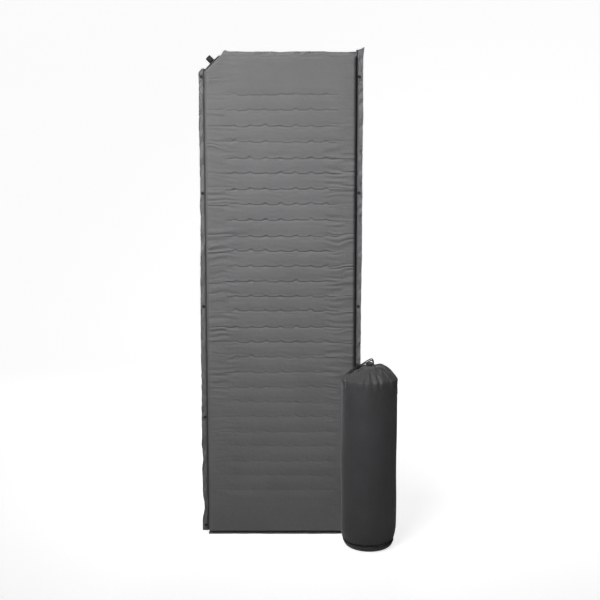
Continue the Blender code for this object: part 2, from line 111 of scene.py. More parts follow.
class PadSettings(bpy.types.PropertyGroup):
    corner_cut: FloatProperty(
        name="Corner cut", description="Length of the cut corner along each edge", default=0.062,
        unit="LENGTH"
    )
    edge_width: FloatProperty(
        name="Edge width", description="How far in from the seam the cover turns over", default=0.0120,
        unit="LENGTH"
    )
    crown: FloatProperty(
        name="Crown", description="How far the middle of the face stands proud", default=0.0018, unit="LENGTH"
    )
    columns: IntProperty(name="Columns", description="Faces across the cover", default=176)
    rows: IntProperty(name="Rows", description="Faces along the cover", default=620)
    first_row: FloatProperty(
        name="First slot row", description="Height of the lowest row of foam slots", default=0.179,
        unit="LENGTH"
    )
    row_pitch: FloatProperty(
        name="Row pitch", description="Distance between rows of foam slots", default=0.0595, unit="LENGTH"
    )
    row_count: IntProperty(name="Slot rows", description="Rows of foam slots", default=27)
    bridge_pitch: FloatProperty(
        name="Bridge pitch", description="Distance between the foam bridges of a row", default=0.0585,
        unit="LENGTH"
    )
    bridge_count: IntProperty(name="Bridges", description="Foam bridges in a row", default=7)
    crease_depth: FloatProperty(
        name="Crease depth", description="Depth of the cloth's crease over a slot", default=0.0020,
        unit="LENGTH"
    )
    seed: IntProperty(name="Seed", description="Seed of the cloth's wrinkles", default=11)


class FlangeSettings(bpy.types.PropertyGroup):
    cloth: FloatProperty(name="Cloth", description="Thickness of the welded strip", default=0.0009,
                         unit="LENGTH")
    ripple: FloatProperty(
        name="Ripple", description="Height of the strip's waves at its free edge", default=0.0068,
        unit="LENGTH"
    )
    seed: IntProperty(name="Seed", description="Seed of the strip's waves", default=5)


class SackSettings(bpy.types.PropertyGroup):
    shoulder: FloatProperty(
        name="Shoulder", description="Height where the side turns into the top", default=SACK_HIGH.z,
        unit="LENGTH"
    )
    dome: FloatProperty(name="Dome", description="Rise of the gathered top", default=0.055, unit="LENGTH")
    dome_power: FloatProperty(name="Dome power", description="Roundness of the gathered top", default=1.7)
    seam_height: FloatProperty(
        name="Seam height", description="Height of the base seam", default=SACK_LOW.z, unit="LENGTH"
    )
    round_start: FloatProperty(
        name="Round start", description="Height where the side starts to turn in", default=0.075,
        unit="LENGTH"
    )
    gathers: IntProperty(name="Gathers", description="Folds round the mouth", default=13)
    gather_depth: FloatProperty(
        name="Gather depth", description="Height of the folds round the mouth", default=0.0088, unit="LENGTH"
    )
    puckers: IntProperty(name="Puckers", description="Puckers round the base seam", default=54)
    steps: IntProperty(name="Steps", description="Faces round the sack", default=288)
    seed: IntProperty(name="Seed", description="Seed of the sack's creases", default=3)


class CordSettings(bpy.types.PropertyGroup):
    diameter: FloatProperty(name="Diameter", description="The drawcord's diameter", default=0.0044,
                            unit="LENGTH")
    lock_slope: FloatProperty(
        name="Lock slope", description="Slope of the cord through its lock", default=math.radians(27),
        unit="ROTATION"
    )


class FinishSettings(bpy.types.PropertyGroup):
    pad_cloth: FloatVectorProperty(
        name="Pad cloth", description="Colour of the pad's cloth", subtype="COLOR",
        default=(0.150, 0.150, 0.153)
    )
    sack_cloth: FloatVectorProperty(
        name="Sack cloth", description="Colour of the sack's cloth", subtype="COLOR",
        default=(0.056, 0.056, 0.059)
    )
    tape: FloatVectorProperty(
        name="Tape", description="Colour of the seam tape", subtype="COLOR", default=(0.012, 0.012, 0.013)
    )
    moulded: FloatVectorProperty(
        name="Moulded", description="Colour of the moulded pieces", subtype="COLOR",
        default=(0.013, 0.013, 0.014)
    )
    cord: FloatVectorProperty(
        name="Cord", description="Colour of the braided cord", subtype="COLOR", default=(0.014, 0.014, 0.015)
    )
    foam: FloatVectorProperty(
        name="Foam", description="Colour of the foam core", subtype="COLOR", default=(0.74, 0.69, 0.55)
    )


class StageSettings(bpy.types.PropertyGroup):
    camera_x: FloatProperty(name="Camera x", description="Camera's place across", default=0.075,
                            unit="LENGTH")
    camera_distance: FloatProperty(
        name="Camera distance", description="Camera's distance from the pad", default=3.5, unit="LENGTH"
    )
    camera_height: FloatProperty(name="Camera height", description="Height of the lens", default=1.30,
                                 unit="LENGTH")
    camera_pitch: FloatProperty(
        name="Camera pitch", description="How far the camera looks down", default=math.radians(5.9),
        unit="ROTATION"
    )
    lens: FloatProperty(name="Lens", description="Focal length in millimetres", default=53.7)
    key: FloatProperty(name="Key light", description="Power of the key light in watts", default=21.6)
    fill: FloatProperty(name="Fill light", description="Power of each side light in watts", default=4.0)
    sky: FloatProperty(name="Sky", description="Strength of the even light", default=0.09)


SETTINGS = {
    "pad_look": PadSettings,
    "flange_look": FlangeSettings,
    "sack_look": SackSettings,
    "cord_look": CordSettings,
    "finish_look": FinishSettings,
    "stage_look": StageSettings,
}


# ---------------------------------------------------------------- numbers


def ramp(value, low, high):
    """0 below low, 1 above high, and a smooth rise between."""
    share = np.clip((value - low) / (high - low), 0.0, 1.0)
    return share * share * (3 - 2 * share)


def smooth_noise(seed, *axes):
    """Smooth noise from -1 to 1; each axis counts in cells of the noise."""
    table = np.random.default_rng(seed).uniform(-1, 1, 4096)
    primes = (73856093, 19349663, 83492791)
    cells = [np.floor(axis).astype(np.int64) for axis in axes]
    shares = [axis - cell for axis, cell in zip(axes, cells)]
    fades = [s * s * s * (s * (s * 6 - 15) + 10) for s in shares]
    total = 0.0
    for corner in itertools.product((0, 1), repeat=len(axes)):
        weight = 1.0
        key = 0
        for step, cell, fade, prime in zip(corner, cells, fades, primes):
            weight = weight * (fade if step else 1 - fade)
            key = key ^ ((cell + step) * prime)
        total = total + weight * table[key & 4095]
    return total


def ridges(noise, sharpness):
    """Thin ridges along the zero lines of a noise, from 0 to 1."""
    return np.clip(1 - np.abs(noise) * sharpness, 0, 1) ** 2


def hump(value, centre, width):
    return np.exp(-(((value - centre) / width) ** 2))


# ---------------------------------------------------------------- meshes


def read_points(mesh):
    points = np.zeros(len(mesh.vertices) * 3)
    mesh.vertices.foreach_get("co", points)
    return points.reshape(-1, 3)


def write_points(mesh, points):
    mesh.vertices.foreach_set("co", points.ravel())
    mesh.update()


def piece(name, bm, finish, recalculate=True, smooth=True):
    """A new object at the origin from a bmesh, with its normals facing out."""
    if recalculate:
        bmesh.ops.recalc_face_normals(bm, faces=bm.faces)
    mesh = bpy.data.meshes.new(name)
    bm.to_mesh(mesh)
    bm.free()
    mesh.materials.append(finish)
    if smooth:
        mesh.shade_smooth()
    made = bpy.data.objects.new(name, mesh)
    bpy.context.scene.collection.objects.link(made)
    return made


def spun(profile, steps, place=Matrix.Identity(4)):
    """A bmesh turned from a profile of radius and height about its own Z axis, then put in place."""
    bm = bmesh.new()
    line = [bm.verts.new((radius, 0, height)) for radius, height in profile]
    edges = [bm.edges.new(pair) for pair in zip(line, line[1:])]
    bmesh.ops.spin(
        bm, geom=line + edges, cent=(0, 0, 0), axis=(0, 0, 1), angle=2 * math.pi, steps=steps, use_merge=True
    )
    bmesh.ops.remove_doubles(bm, verts=bm.verts, dist=1e-6)
    bmesh.ops.recalc_face_normals(bm, faces=bm.faces)
    bmesh.ops.transform(bm, matrix=place, verts=bm.verts)
    return bm


def rounded(points, radius, steps=4):
    """A profile with each inner corner rounded, for the corners that have room."""
    out = [Vector(points[0])]
    for before, corner, after in zip(points, points[1:], points[2:]):
        a, b, c = Vector(before), Vector(corner), Vector(after)
        reach = min(radius, (a - b).length * 0.45, (c - b).length * 0.45)
        start = b + (a - b).normalized() * reach
        end = b + (c - b).normalized() * reach
        for i in range(steps + 1):
            t = i / steps
            out.append(start * (1 - t) ** 2 + b * 2 * t * (1 - t) + end * t * t)
    out.append(Vector(points[-1]))
    return [tuple(p) for p in out]


def facing(place, direction):
    """A frame at a place, with its Z axis along a direction."""
    turn = Vector(direction).to_track_quat("Z", "Y").to_matrix().to_4x4()
    return Matrix.Translation(place) @ turn


def settle(obj):
    """The object with its modifiers applied to a mesh of its own, at the origin."""
    bpy.context.view_layer.update()
    graph = bpy.context.evaluated_depsgraph_get()
    mesh = bpy.data.meshes.new_from_object(obj.evaluated_get(graph))
    mesh.transform(obj.matrix_world)
    name = obj.name
    bpy.data.objects.remove(obj)
    mesh.name = name
    made = bpy.data.objects.new(name, mesh)
    bpy.context.scene.collection.objects.link(made)
    return made


def carve(obj, cutter):
    """Cuts one object out of another, and removes the cutter."""
    cut = obj.modifiers.new("cut", "BOOLEAN")
    cut.object = cutter
    cut.operation = "DIFFERENCE"
    done = settle(obj)
    bpy.data.objects.remove(cutter)
    done.data.shade_smooth()
    done.data.set_sharp_from_angle(angle=math.radians(38))
    return done


# ---------------------------------------------------------------- shader groups


def add(tree, kind, inputs=None, **choices):
    """A new node with its choices made and its inputs set, or joined to other nodes' outputs."""
    made = tree.nodes.new(kind)
    for name, value in choices.items():
        setattr(made, name, value)
    for name, value in (inputs or {}).items():
        if isinstance(value, bpy.types.NodeSocket):
            tree.links.new(value, made.inputs[name])
        else:
            made.inputs[name].default_value = value
    return made


def maths(tree, operation, *values):
    made = add(tree, "ShaderNodeMath", dict(enumerate(values)), operation=operation)
    return made.outputs[0]


def mixed(tree, factor, first, second):
    """A colour mix of two colours or sockets."""
    made = add(tree, "ShaderNodeMix", data_type="RGBA")
    for index, value in ((0, factor), (6, first), (7, second)):
        if isinstance(value, bpy.types.NodeSocket):
            tree.links.new(value, made.inputs[index])
        else:
            made.inputs[index].default_value = value
    return made.outputs[2]


def noise_node(tree, vector, scale, detail=2.0, roughness=0.5):
    made = add(
        tree,
        "ShaderNodeTexNoise",
        {"Vector": vector, "Scale": scale, "Detail": detail, "Roughness": roughness},
    )
    return made.outputs["Fac"]


def open_group(name, inputs, outputs):
    """A new shader group with its sockets; returns the group, its inputs' sockets and its output node."""
    group = bpy.data.node_groups.new(name, "ShaderNodeTree")
    for label, kind, value in inputs:
        socket = group.interface.new_socket(label, in_out="INPUT", socket_type=kind)
        if value is not None:
            socket.default_value = value
    for label, kind in outputs:
        group.interface.new_socket(label, in_out="OUTPUT", socket_type=kind)
    entry = group.nodes.new("NodeGroupInput")
    exit_node = group.nodes.new("NodeGroupOutput")
    return group, entry.outputs, exit_node


def plain_weave_group():
    """Over-and-under threads in the first two coordinates: a height, and painted shade for the gaps between
    threads.
    """
    group, given, out = open_group(
        "plain_weave",
        [("Vector", "NodeSocketVector", None), ("Threads", "NodeSocketFloat", 2200.0)],
        [("Height", "NodeSocketFloat"), ("Shade", "NodeSocketFloat")],
    )
    scaled = add(group, "ShaderNodeVectorMath", {0: given["Vector"]}, operation="SCALE")
    group.links.new(given["Threads"], scaled.inputs["Scale"])
    parts = add(group, "ShaderNodeSeparateXYZ", {0: scaled.outputs[0]})
    across = maths(group, "SINE", maths(group, "MULTIPLY", parts.outputs[0], math.pi))
    along = maths(group, "SINE", maths(group, "MULTIPLY", parts.outputs[1], math.pi))
    over = maths(group, "MULTIPLY", across, along)
    over = maths(group, "MULTIPLY_ADD", over, 0.5, 0.5)
    threads = maths(group, "MAXIMUM", maths(group, "ABSOLUTE", across), maths(group, "ABSOLUTE", along))
    height = maths(group, "ADD", maths(group, "MULTIPLY", threads, 0.6), maths(group, "MULTIPLY", over, 0.4))
    group.links.new(height, out.inputs["Height"])
    # Painted shade: darker where the threads dip into their gaps.
    shade = maths(group, "MULTIPLY_ADD", threads, 0.3, 0.7)
    group.links.new(shade, out.inputs["Shade"])
    return group


def mottle_group():
    """Slow and quick changes of shade over a finish, and the roughness that goes with them."""
    group, given, out = open_group(
        "mottle",
        [
            ("Vector", "NodeSocketVector", None),
            ("Colour", "NodeSocketColor", (0.2, 0.2, 0.2, 1)),
            ("Faded", "NodeSocketColor", (0.25, 0.25, 0.25, 1)),
            ("Scale", "NodeSocketFloat", 12.0),
            ("Roughness", "NodeSocketFloat", 0.7),
        ],
        [("Colour", "NodeSocketColor"), ("Roughness", "NodeSocketFloat")],
    )
    slow = noise_node(group, given["Vector"], given["Scale"], 3.0, 0.55)
    quick = noise_node(group, given["Vector"], maths(group, "MULTIPLY", given["Scale"], 14.0), 2.0, 0.6)
    both = maths(group, "ADD", maths(group, "MULTIPLY", slow, 0.7), maths(group, "MULTIPLY", quick, 0.3))
    spread = add(group, "ShaderNodeMapRange", {0: both, 1: 0.35, 2: 0.65, 3: 0.0, 4: 1.0})
    group.links.new(mixed(group, spread.outputs[0], given["Colour"], given["Faded"]), out.inputs["Colour"])
    swing = maths(group, "MULTIPLY_ADD", spread.outputs[0], 0.12, -0.06)
    group.links.new(maths(group, "ADD", given["Roughness"], swing), out.inputs["Roughness"])
    return group


def fine_crease_group():
    """Small folds and pressed-in lines of handled cloth, as a height."""
    group, given, out = open_group(
        "fine_creases",
        [("Vector", "NodeSocketVector", None), ("Scale", "NodeSocketFloat", 30.0)],
        [("Height", "NodeSocketFloat")],
    )
    warp = add(group, "ShaderNodeTexNoise", {"Vector": given["Vector"], "Scale": 9.0, "Detail": 2.0})
    pushed = add(
        group, "ShaderNodeVectorMath", {0: warp.outputs["Color"], 1: (0.03, 0.03, 0.03)}, operation="MULTIPLY"
    )
    moved = add(group, "ShaderNodeVectorMath", {0: given["Vector"], 1: pushed.outputs[0]}, operation="ADD")
    lines = noise_node(group, moved.outputs[0], given["Scale"], 3.0, 0.6)
    fold = maths(group, "ABSOLUTE", maths(group, "SUBTRACT", lines, 0.5))
    sharp = maths(group, "POWER", maths(group, "SUBTRACT", 1.0, maths(group, "MULTIPLY", fold, 4.0)), 3.0)
    group.links.new(maths(group, "MAXIMUM", sharp, 0.0), out.inputs["Height"])
    return group


def moulded_grain_group():
    """The spark-eroded grain of moulded plastic with a few handling scuffs: height, scuffs and roughness."""
    group, given, out = open_group(
        "moulded_grain",
        [
            ("Vector", "NodeSocketVector", None),
            ("Grain", "NodeSocketFloat", 1500.0),
            ("Roughness", "NodeSocketFloat", 0.45),
        ],
        [("Height", "NodeSocketFloat"), ("Scuffs", "NodeSocketFloat"), ("Roughness", "NodeSocketFloat")],
    )
    grain = noise_node(group, given["Vector"], given["Grain"], 2.0, 0.6)
    group.links.new(grain, out.inputs["Height"])
    worn = noise_node(group, given["Vector"], 160.0, 4.0, 0.65)
    scuffs = add(group, "ShaderNodeMapRange", {0: worn, 1: 0.54, 2: 0.72, 3: 0.0, 4: 1.0})
    group.links.new(scuffs.outputs[0], out.inputs["Scuffs"])
    change = maths(group, "MULTIPLY_ADD", scuffs.outputs[0], 0.22, given["Roughness"])
    group.links.new(change, out.inputs["Roughness"])
    return group


def dust_group():
    """Pale dust that lies on what faces up, as a mask."""
    group, given, out = open_group(
        "settled_dust",
        [("Vector", "NodeSocketVector", None), ("Amount", "NodeSocketFloat", 0.2)],
        [("Mask", "NodeSocketFloat")],
    )
    surface = group.nodes.new("ShaderNodeNewGeometry")
    up = add(group, "ShaderNodeSeparateXYZ", {0: surface.outputs["Normal"]}).outputs[2]
    lie = add(group, "ShaderNodeMapRange", {0: up, 1: 0.1, 2: 0.9, 3: 0.0, 4: 1.0})
    patches = noise_node(group, given["Vector"], 60.0, 4.0, 0.6)
    both = maths(group, "MULTIPLY", lie.outputs[0], patches)
    group.links.new(maths(group, "MULTIPLY", both, given["Amount"]), out.inputs["Mask"])
    return group


GROUP_MAKERS = {
    "plain_weave": plain_weave_group,
    "mottle": mottle_group,
    "fine_creases": fine_crease_group,
    "moulded_grain": moulded_grain_group,
    "settled_dust": dust_group,
}


def grouped(tree, name, inputs):
    """A node that holds the shader group of that name, made when it is first used."""
    tree_group = bpy.data.node_groups.get(name) or GROUP_MAKERS[name]()
    made = tree.nodes.new("ShaderNodeGroup")
    made.node_tree = tree_group
    for label, value in inputs.items():
        if isinstance(value, bpy.types.NodeSocket):
            tree.links.new(value, made.inputs[label])
        else:
            made.inputs[label].default_value = value
    return made.outputs


# ---------------------------------------------------------------- materials


def start_material(name):
    """A new material with its shader: returns the material, its tree and the shader node."""
    made = bpy.data.materials.new(name)
    made.use_nodes = True
    return made, made.node_tree, made.node_tree.nodes["Principled BSDF"]


def solid(colour, share=1.0):
    return (colour[0] * share, colour[1] * share, colour[2] * share, 1.0)


def place_of(tree, turned=False, surface=False):
    """A pattern's coordinates: the object's own, X and Z in front where turned, or the surface's UV map."""
    source = tree.nodes.new("ShaderNodeTexCoord")
    if surface:
        return source.outputs["UV"]
    if not turned:
        return source.outputs["Object"]
    turn = add(tree, "ShaderNodeMapping", {"Vector": source.outputs["Object"]})
    turn.inputs["Rotation"].default_value = (math.radians(-90), 0, 0)
    return turn.outputs[0]


def bump(tree, height, distance, strength=1.0, below=None):
    inputs = {"Height": height, "Distance": distance, "Strength": strength}
    if below is not None:
        inputs["Normal"] = below
    return add(tree, "ShaderNodeBump", inputs).outputs[0]


def woven_material(name, colour, faded, threads, roughness, sheen, creases, turned=True, surface=False,
                   coat=0.0):
    """Woven cloth: threads with painted shade in their gaps, mottled shade, fine creases and a little dust.
    """
    made, tree, shader = start_material(name)
    where = place_of(tree, turned, surface)
    body = place_of(tree)
    mottle = grouped(
        tree,
        "mottle",
        {"Vector": body, "Colour": solid(colour), "Faded": solid(colour, faded), "Scale": 7.0,
         "Roughness": roughness},
    )
    weave = grouped(tree, "plain_weave", {"Vector": where, "Threads": threads})
    crease = grouped(tree, "fine_creases", {"Vector": body, "Scale": 34.0})
    dust = grouped(tree, "settled_dust", {"Vector": body, "Amount": 0.10})
    # Painted shade: the mottled colour is scaled down in the gaps between threads.
    shade = add(tree, "ShaderNodeVectorMath", {0: mottle["Colour"]}, operation="SCALE")
    tree.links.new(weave["Shade"], shade.inputs["Scale"])
    dusty = mixed(tree, dust["Mask"], shade.outputs[0], (0.42, 0.40, 0.37, 1))
    tree.links.new(dusty, shader.inputs["Base Color"])
    tree.links.new(mottle["Roughness"], shader.inputs["Roughness"])
    folds = bump(tree, crease["Height"], creases)
    tree.links.new(bump(tree, weave["Height"], 0.00008, 0.7, folds), shader.inputs["Normal"])
    shader.inputs["Sheen Weight"].default_value = sheen
    shader.inputs["Sheen Roughness"].default_value = 0.45
    shader.inputs["Specular IOR Level"].default_value = 0.35
    shader.inputs["Coat Weight"].default_value = coat
    shader.inputs["Coat Roughness"].default_value = 0.45
    return made


def paint_seam_shade(made, share):
    """Darkens a cloth material with painted shade along the weld line that the piece's own seam attribute
    marks, where the strip meets the face in a crease.
    """
    tree = made.node_tree
    shader = tree.nodes["Principled BSDF"]
    colour = shader.inputs["Base Color"].links[0].from_socket
    line = tree.nodes.new("ShaderNodeAttribute")
    line.attribute_name = "seam"
    # Painted shade: the seam mask mixes the colour towards near-black along the weld line.
    deep = mixed(tree, maths(tree, "MULTIPLY", line.outputs["Fac"], share), colour, (0.012, 0.012, 0.013, 1))
    tree.links.new(deep, shader.inputs["Base Color"])
    return made


def moulded_material(name, colour, roughness, grain=1500.0):
    """Moulded black plastic with its grain, pale scuffs and dust."""
    made, tree, shader = start_material(name)
    where = place_of(tree)
    skin = grouped(tree, "moulded_grain", {"Vector": where, "Grain": grain, "Roughness": roughness})
    mottle = grouped(
        tree,
        "mottle",
        {"Vector": where, "Colour": solid(colour), "Faded": solid(colour, 1.5), "Scale": 40.0,
         "Roughness": 0.5},
    )
    dust = grouped(tree, "settled_dust", {"Vector": where, "Amount": 0.10})
    scuffed = mixed(tree, maths(tree, "MULTIPLY", skin["Scuffs"], 0.35), mottle["Colour"], solid(colour, 4.0))
    dusty = mixed(tree, dust["Mask"], scuffed, (0.35, 0.34, 0.32, 1))
    tree.links.new(dusty, shader.inputs["Base Color"])
    tree.links.new(skin["Roughness"], shader.inputs["Roughness"])
    tree.links.new(bump(tree, skin["Height"], 0.00006, 0.6), shader.inputs["Normal"])
    return made


def braided_material(name, colour):
    """Braided cord: strands that cross over each other round the cord, from its UV map, with painted shade in
    the grooves between them.
    """
    made, tree, shader = start_material(name)
    parts = add(tree, "ShaderNodeSeparateXYZ", {0: place_of(tree, surface=True)})
    along, round_it = parts.outputs[0], parts.outputs[1]
    left = maths(tree, "ADD", maths(tree, "MULTIPLY", along, 420.0), maths(tree, "MULTIPLY", round_it, 4.0))
    right = maths(tree, "SUBTRACT", maths(tree, "MULTIPLY", along, 420.0),
                  maths(tree, "MULTIPLY", round_it, 4.0))
    one = maths(tree, "SINE", maths(tree, "MULTIPLY", left, math.pi))
    two = maths(tree, "SINE", maths(tree, "MULTIPLY", right, math.pi))
    strands = maths(tree, "MAXIMUM", maths(tree, "ABSOLUTE", one), maths(tree, "ABSOLUTE", two))
    mottle = grouped(
        tree,
        "mottle",
        {
            "Vector": place_of(tree),
            "Colour": solid(colour),
            "Faded": solid(colour, 2.2),
            "Scale": 60.0,
            "Roughness": 0.62,
        },
    )
    # Painted shade: darker in the grooves between strands, lighter on their crowns.
    shade = add(tree, "ShaderNodeVectorMath", {0: mottle["Colour"]}, operation="SCALE")
    tree.links.new(maths(tree, "MULTIPLY_ADD", strands, 1.1, 0.25), shade.inputs["Scale"])
    tree.links.new(shade.outputs[0], shader.inputs["Base Color"])
    tree.links.new(mottle["Roughness"], shader.inputs["Roughness"])
    tree.links.new(bump(tree, strands, 0.0003, 0.8), shader.inputs["Normal"])
    shader.inputs["Sheen Weight"].default_value = 0.15
    return made


def foam_material(name, colour):
    """Open-cell foam: pores of two sizes with painted shade in them, and a yellowed skin."""
    made, tree, shader = start_material(name)
    where = place_of(tree)
    cells = add(tree, "ShaderNodeTexVoronoi", {"Vector": where, "Scale": 900.0})
    pores = add(tree, "ShaderNodeTexVoronoi", {"Vector": where, "Scale": 320.0})
    depth = maths(tree, "MULTIPLY", cells.outputs["Distance"], pores.outputs["Distance"])
    mottle = grouped(
        tree,
        "mottle",
        {"Vector": where, "Colour": solid(colour), "Faded": solid(colour, 0.8), "Scale": 9.0,
         "Roughness": 0.92},
    )
    # Painted shade: the colour darkens where the pores are deepest.
    pore_shade = mixed(tree, maths(tree, "MULTIPLY", depth, 0.9), mottle["Colour"], solid(colour, 0.35))
    tree.links.new(pore_shade, shader.inputs["Base Color"])
    tree.links.new(mottle["Roughness"], shader.inputs["Roughness"])
    tree.links.new(bump(tree, depth, -0.0006, 0.8), shader.inputs["Normal"])
    return made


def wire_material(name):
    """Drawn spring wire with fine lines and a trace of tarnish."""
    made, tree, shader = start_material(name)
    where = place_of(tree)
    skin = grouped(tree, "moulded_grain", {"Vector": where, "Grain": 4000.0, "Roughness": 0.28})
    tint = mixed(tree, skin["Scuffs"], (0.60, 0.60, 0.61, 1), (0.42, 0.38, 0.32, 1))
    tree.links.new(tint, shader.inputs["Base Color"])
    tree.links.new(skin["Roughness"], shader.inputs["Roughness"])
    tree.links.new(bump(tree, skin["Height"], 0.00002, 0.5), shader.inputs["Normal"])
    shader.inputs["Metallic"].default_value = 1.0
    return made


def finish(context, name):
    """The material of that name, made when it is first used."""
    found = bpy.data.materials.get(name)
    if found:
        return found
    look = context.scene.finish_look
    if name == "pad_polyester":
        return woven_material(name, look.pad_cloth, 1.14, 2300.0, 0.74, 0.10, 0.00035)
    if name == "welded_strip":
        # The welded strip gets painted shade along its weld line.
        return paint_seam_shade(woven_material(name, look.pad_cloth, 1.22, 2300.0, 0.66, 0.12, 0.0006), 0.80)
    if name == "sack_nylon":
        return woven_material(
            name, look.sack_cloth, 1.25, 2600.0, 0.56, 0.30, 0.0005, turned=False, surface=True, coat=0.06
        )
    if name == "seam_tape":
        return woven_material(name, look.tape, 1.6, 1400.0, 0.8, 0.1, 0.0002, turned=False, surface=True)
    if name == "strap_webbing":
        return woven_material(name, look.tape, 1.6, 900.0, 0.8, 0.1, 0.0002)
    if name == "moulded_black":
        return moulded_material(name, look.moulded, 0.42)
    if name == "snap_black":
        return moulded_material(name, look.moulded, 0.34, 2400.0)
    if name == "seal_rubber":
        return moulded_material(name, (0.03, 0.03, 0.03), 0.62, 3200.0)
    if name == "braided_cord":
        return braided_material(name, look.cord)
    if name == "open_cell_foam":
        return foam_material(name, look.foam)
    if name == "spring_wire":
        return wire_material(name)
    raise ValueError(f"there is no finish named {name}")


# ---------------------------------------------------------------- stage


class SleepingPadStage(bpy.types.Operator):
    """Camera, floor, backdrop and soft studio light"""

    bl_idname = "sleeping_pad.stage"
    bl_label = "Stage"

    def execute(self, context):
        look = context.scene.stage_look
        context.scene.view_settings.view_transform = "Standard"
        self.make_camera(context, look)
        self.make_floor(context)
        self.make_lights(context, look)
        return {"FINISHED"}

    def make_camera(self, context, look):
        data = bpy.data.cameras.new("camera")
        data.lens = look.lens
        data.sensor_width = 36.0
        camera = bpy.data.objects.new("camera", data)
        context.scene.collection.objects.link(camera)
        camera.location = (look.camera_x, -look.camera_distance, look.camera_height)
        camera.rotation_euler = (math.pi / 2 - look.camera_pitch, 0, 0)
        context.scene.camera = camera

    def make_floor(self, context):
        """A floor that turns up into a back wall in one sweep."""
        bm = bmesh.new()
        near, far, side, bend, top = -9.0, 7.0, 12.0, 3.0, 12.0
        path = [(near, 0.0)]
        path += [
            (far - bend + bend * math.sin(a), bend - bend * math.cos(a))
            for a in (math.pi / 2 * i / 24 for i in range(25))
        ]
        path.append((far, top))
        line = [bm.verts.new((-side, y, z)) for y, z in path]
        edges = [bm.edges.new(pair) for pair in zip(line, line[1:])]
        swept = bmesh.ops.extrude_edge_only(bm, edges=edges)["geom"]
        moved = [v for v in swept if isinstance(v, bmesh.types.BMVert)]
        bmesh.ops.translate(bm, verts=moved, vec=(2 * side, 0, 0))
        bmesh.ops.recalc_face_normals(bm, faces=bm.faces)
        made, tree, shader = start_material("pale_sweep")
        where = place_of(tree)
        cloudy = noise_node(tree, where, 1.2, 3.0)
        seen = tree.nodes.new("ShaderNodeLightPath")
        pale = mixed(tree, cloudy, (0.66, 0.66, 0.66, 1), (0.69, 0.69, 0.69, 1))
        shown = mixed(tree, seen.outputs["Is Camera Ray"], (0.30, 0.30, 0.30, 1), pale)
        tree.links.new(shown, shader.inputs["Base Color"])
        shader.inputs["Roughness"].default_value = 0.9
        shader.inputs["Emission Color"].default_value = (1.0, 1.0, 1.0, 1)
        depth = add(tree, "ShaderNodeSeparateXYZ", {0: where}).outputs[1]
        lift = add(tree, "ShaderNodeMapRange", {0: depth, 1: -0.6, 2: 2.6, 3: 0.74, 4: 0.915})
        glow = maths(tree, "MULTIPLY", seen.outputs["Is Camera Ray"], lift.outputs[0])
        tree.links.new(glow, shader.inputs["Emission Strength"])
        floor = piece("sweep", bm, made, recalculate=False)

    def make_lights(self, context, look):
        world = bpy.data.worlds.new("studio")
        world.use_nodes = True
        world.node_tree.nodes["Background"].inputs["Color"].default_value = (1.0, 1.0, 1.0, 1)
        nodes, links = world.node_tree.nodes, world.node_tree.links
        sky = nodes["Background"]
        sky.inputs["Strength"].default_value = look.sky
        seen = nodes.new("ShaderNodeBackground")
        seen.inputs["Color"].default_value = (1.0, 1.0, 1.0, 1)
        choice = nodes.new("ShaderNodeMixShader")
        links.new(nodes.new("ShaderNodeLightPath").outputs["Is Camera Ray"], choice.inputs[0])
        links.new(sky.outputs[0], choice.inputs[1])
        links.new(seen.outputs[0], choice.inputs[2])
        links.new(choice.outputs[0], nodes["World Output"].inputs["Surface"])
        context.scene.world = world
        aim = Vector((0.0, 0.0, 1.50))
        for name, place, size, power in (
            ("key", Vector((-1.15, -2.5, 2.9)), 2.0, look.key),
            ("fill_left", Vector((-2.6, -2.2, 1.6)), 1.6, look.fill),
            ("fill_right", Vector((2.6, -2.0, 1.3)), 1.6, look.fill),
            ("rim", Vector((0.4, 3.2, 1.5)), 1.4, look.fill * 5),
        ):
            data = bpy.data.lights.new(name, "AREA")
            data.shape = "DISK"
            data.size = size
            data.energy = power
            data.spread = math.radians(65 if name == "key" else 180)
            lamp = bpy.data.objects.new(name, data)
            context.scene.collection.objects.link(lamp)
            lamp.location = place
            lamp.rotation_euler = (aim - place).to_track_quat("-Z", "Y").to_euler()


# ---------------------------------------------------------------- cord and lock


def smooth_route(route, spacing):
    """Points along a smooth curve through the route's points, evenly spaced."""
    dense = []
    last = len(route) - 1
    for i in range(last):
        a, b, c, d = (Vector(route[max(0, min(last, k))]) for k in (i - 1, i, i + 1, i + 2))
        for step in range(12):
            t = step / 12
            dense.append(
                0.5 * (2 * b + (c - a) * t + (2 * a - 5 * b + 4 * c - d) * t * t + (3 * b - a - 3 * c + d)
                       * t**3)
            )
    dense.append(Vector(route[-1]))
    lengths = [0.0]
    for a, b in zip(dense, dense[1:]):
        lengths.append(lengths[-1] + (b - a).length)
    count = max(2, round(lengths[-1] / spacing))
    points = []
    k = 0
    for i in range(count + 1):
        want = lengths[-1] * i / count
        while k < len(lengths) - 2 and lengths[k + 1] < want:
            k += 1
        share = (want - lengths[k]) / (lengths[k + 1] - lengths[k])
        points.append(dense[k].lerp(dense[k + 1], share))
    return points, lengths[-1]


def lock_frame():
    """The lock's own frame: Z along its barrel, which lies along +Y."""
    low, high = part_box("lock_barrel")
    button_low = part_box("lock_plunger")[0]
    middle = Vector(((low.x + high.x) / 2, low.y, (low.z + high.z) / 2))
    return middle, high.y - low.y, low.y - button_low.y


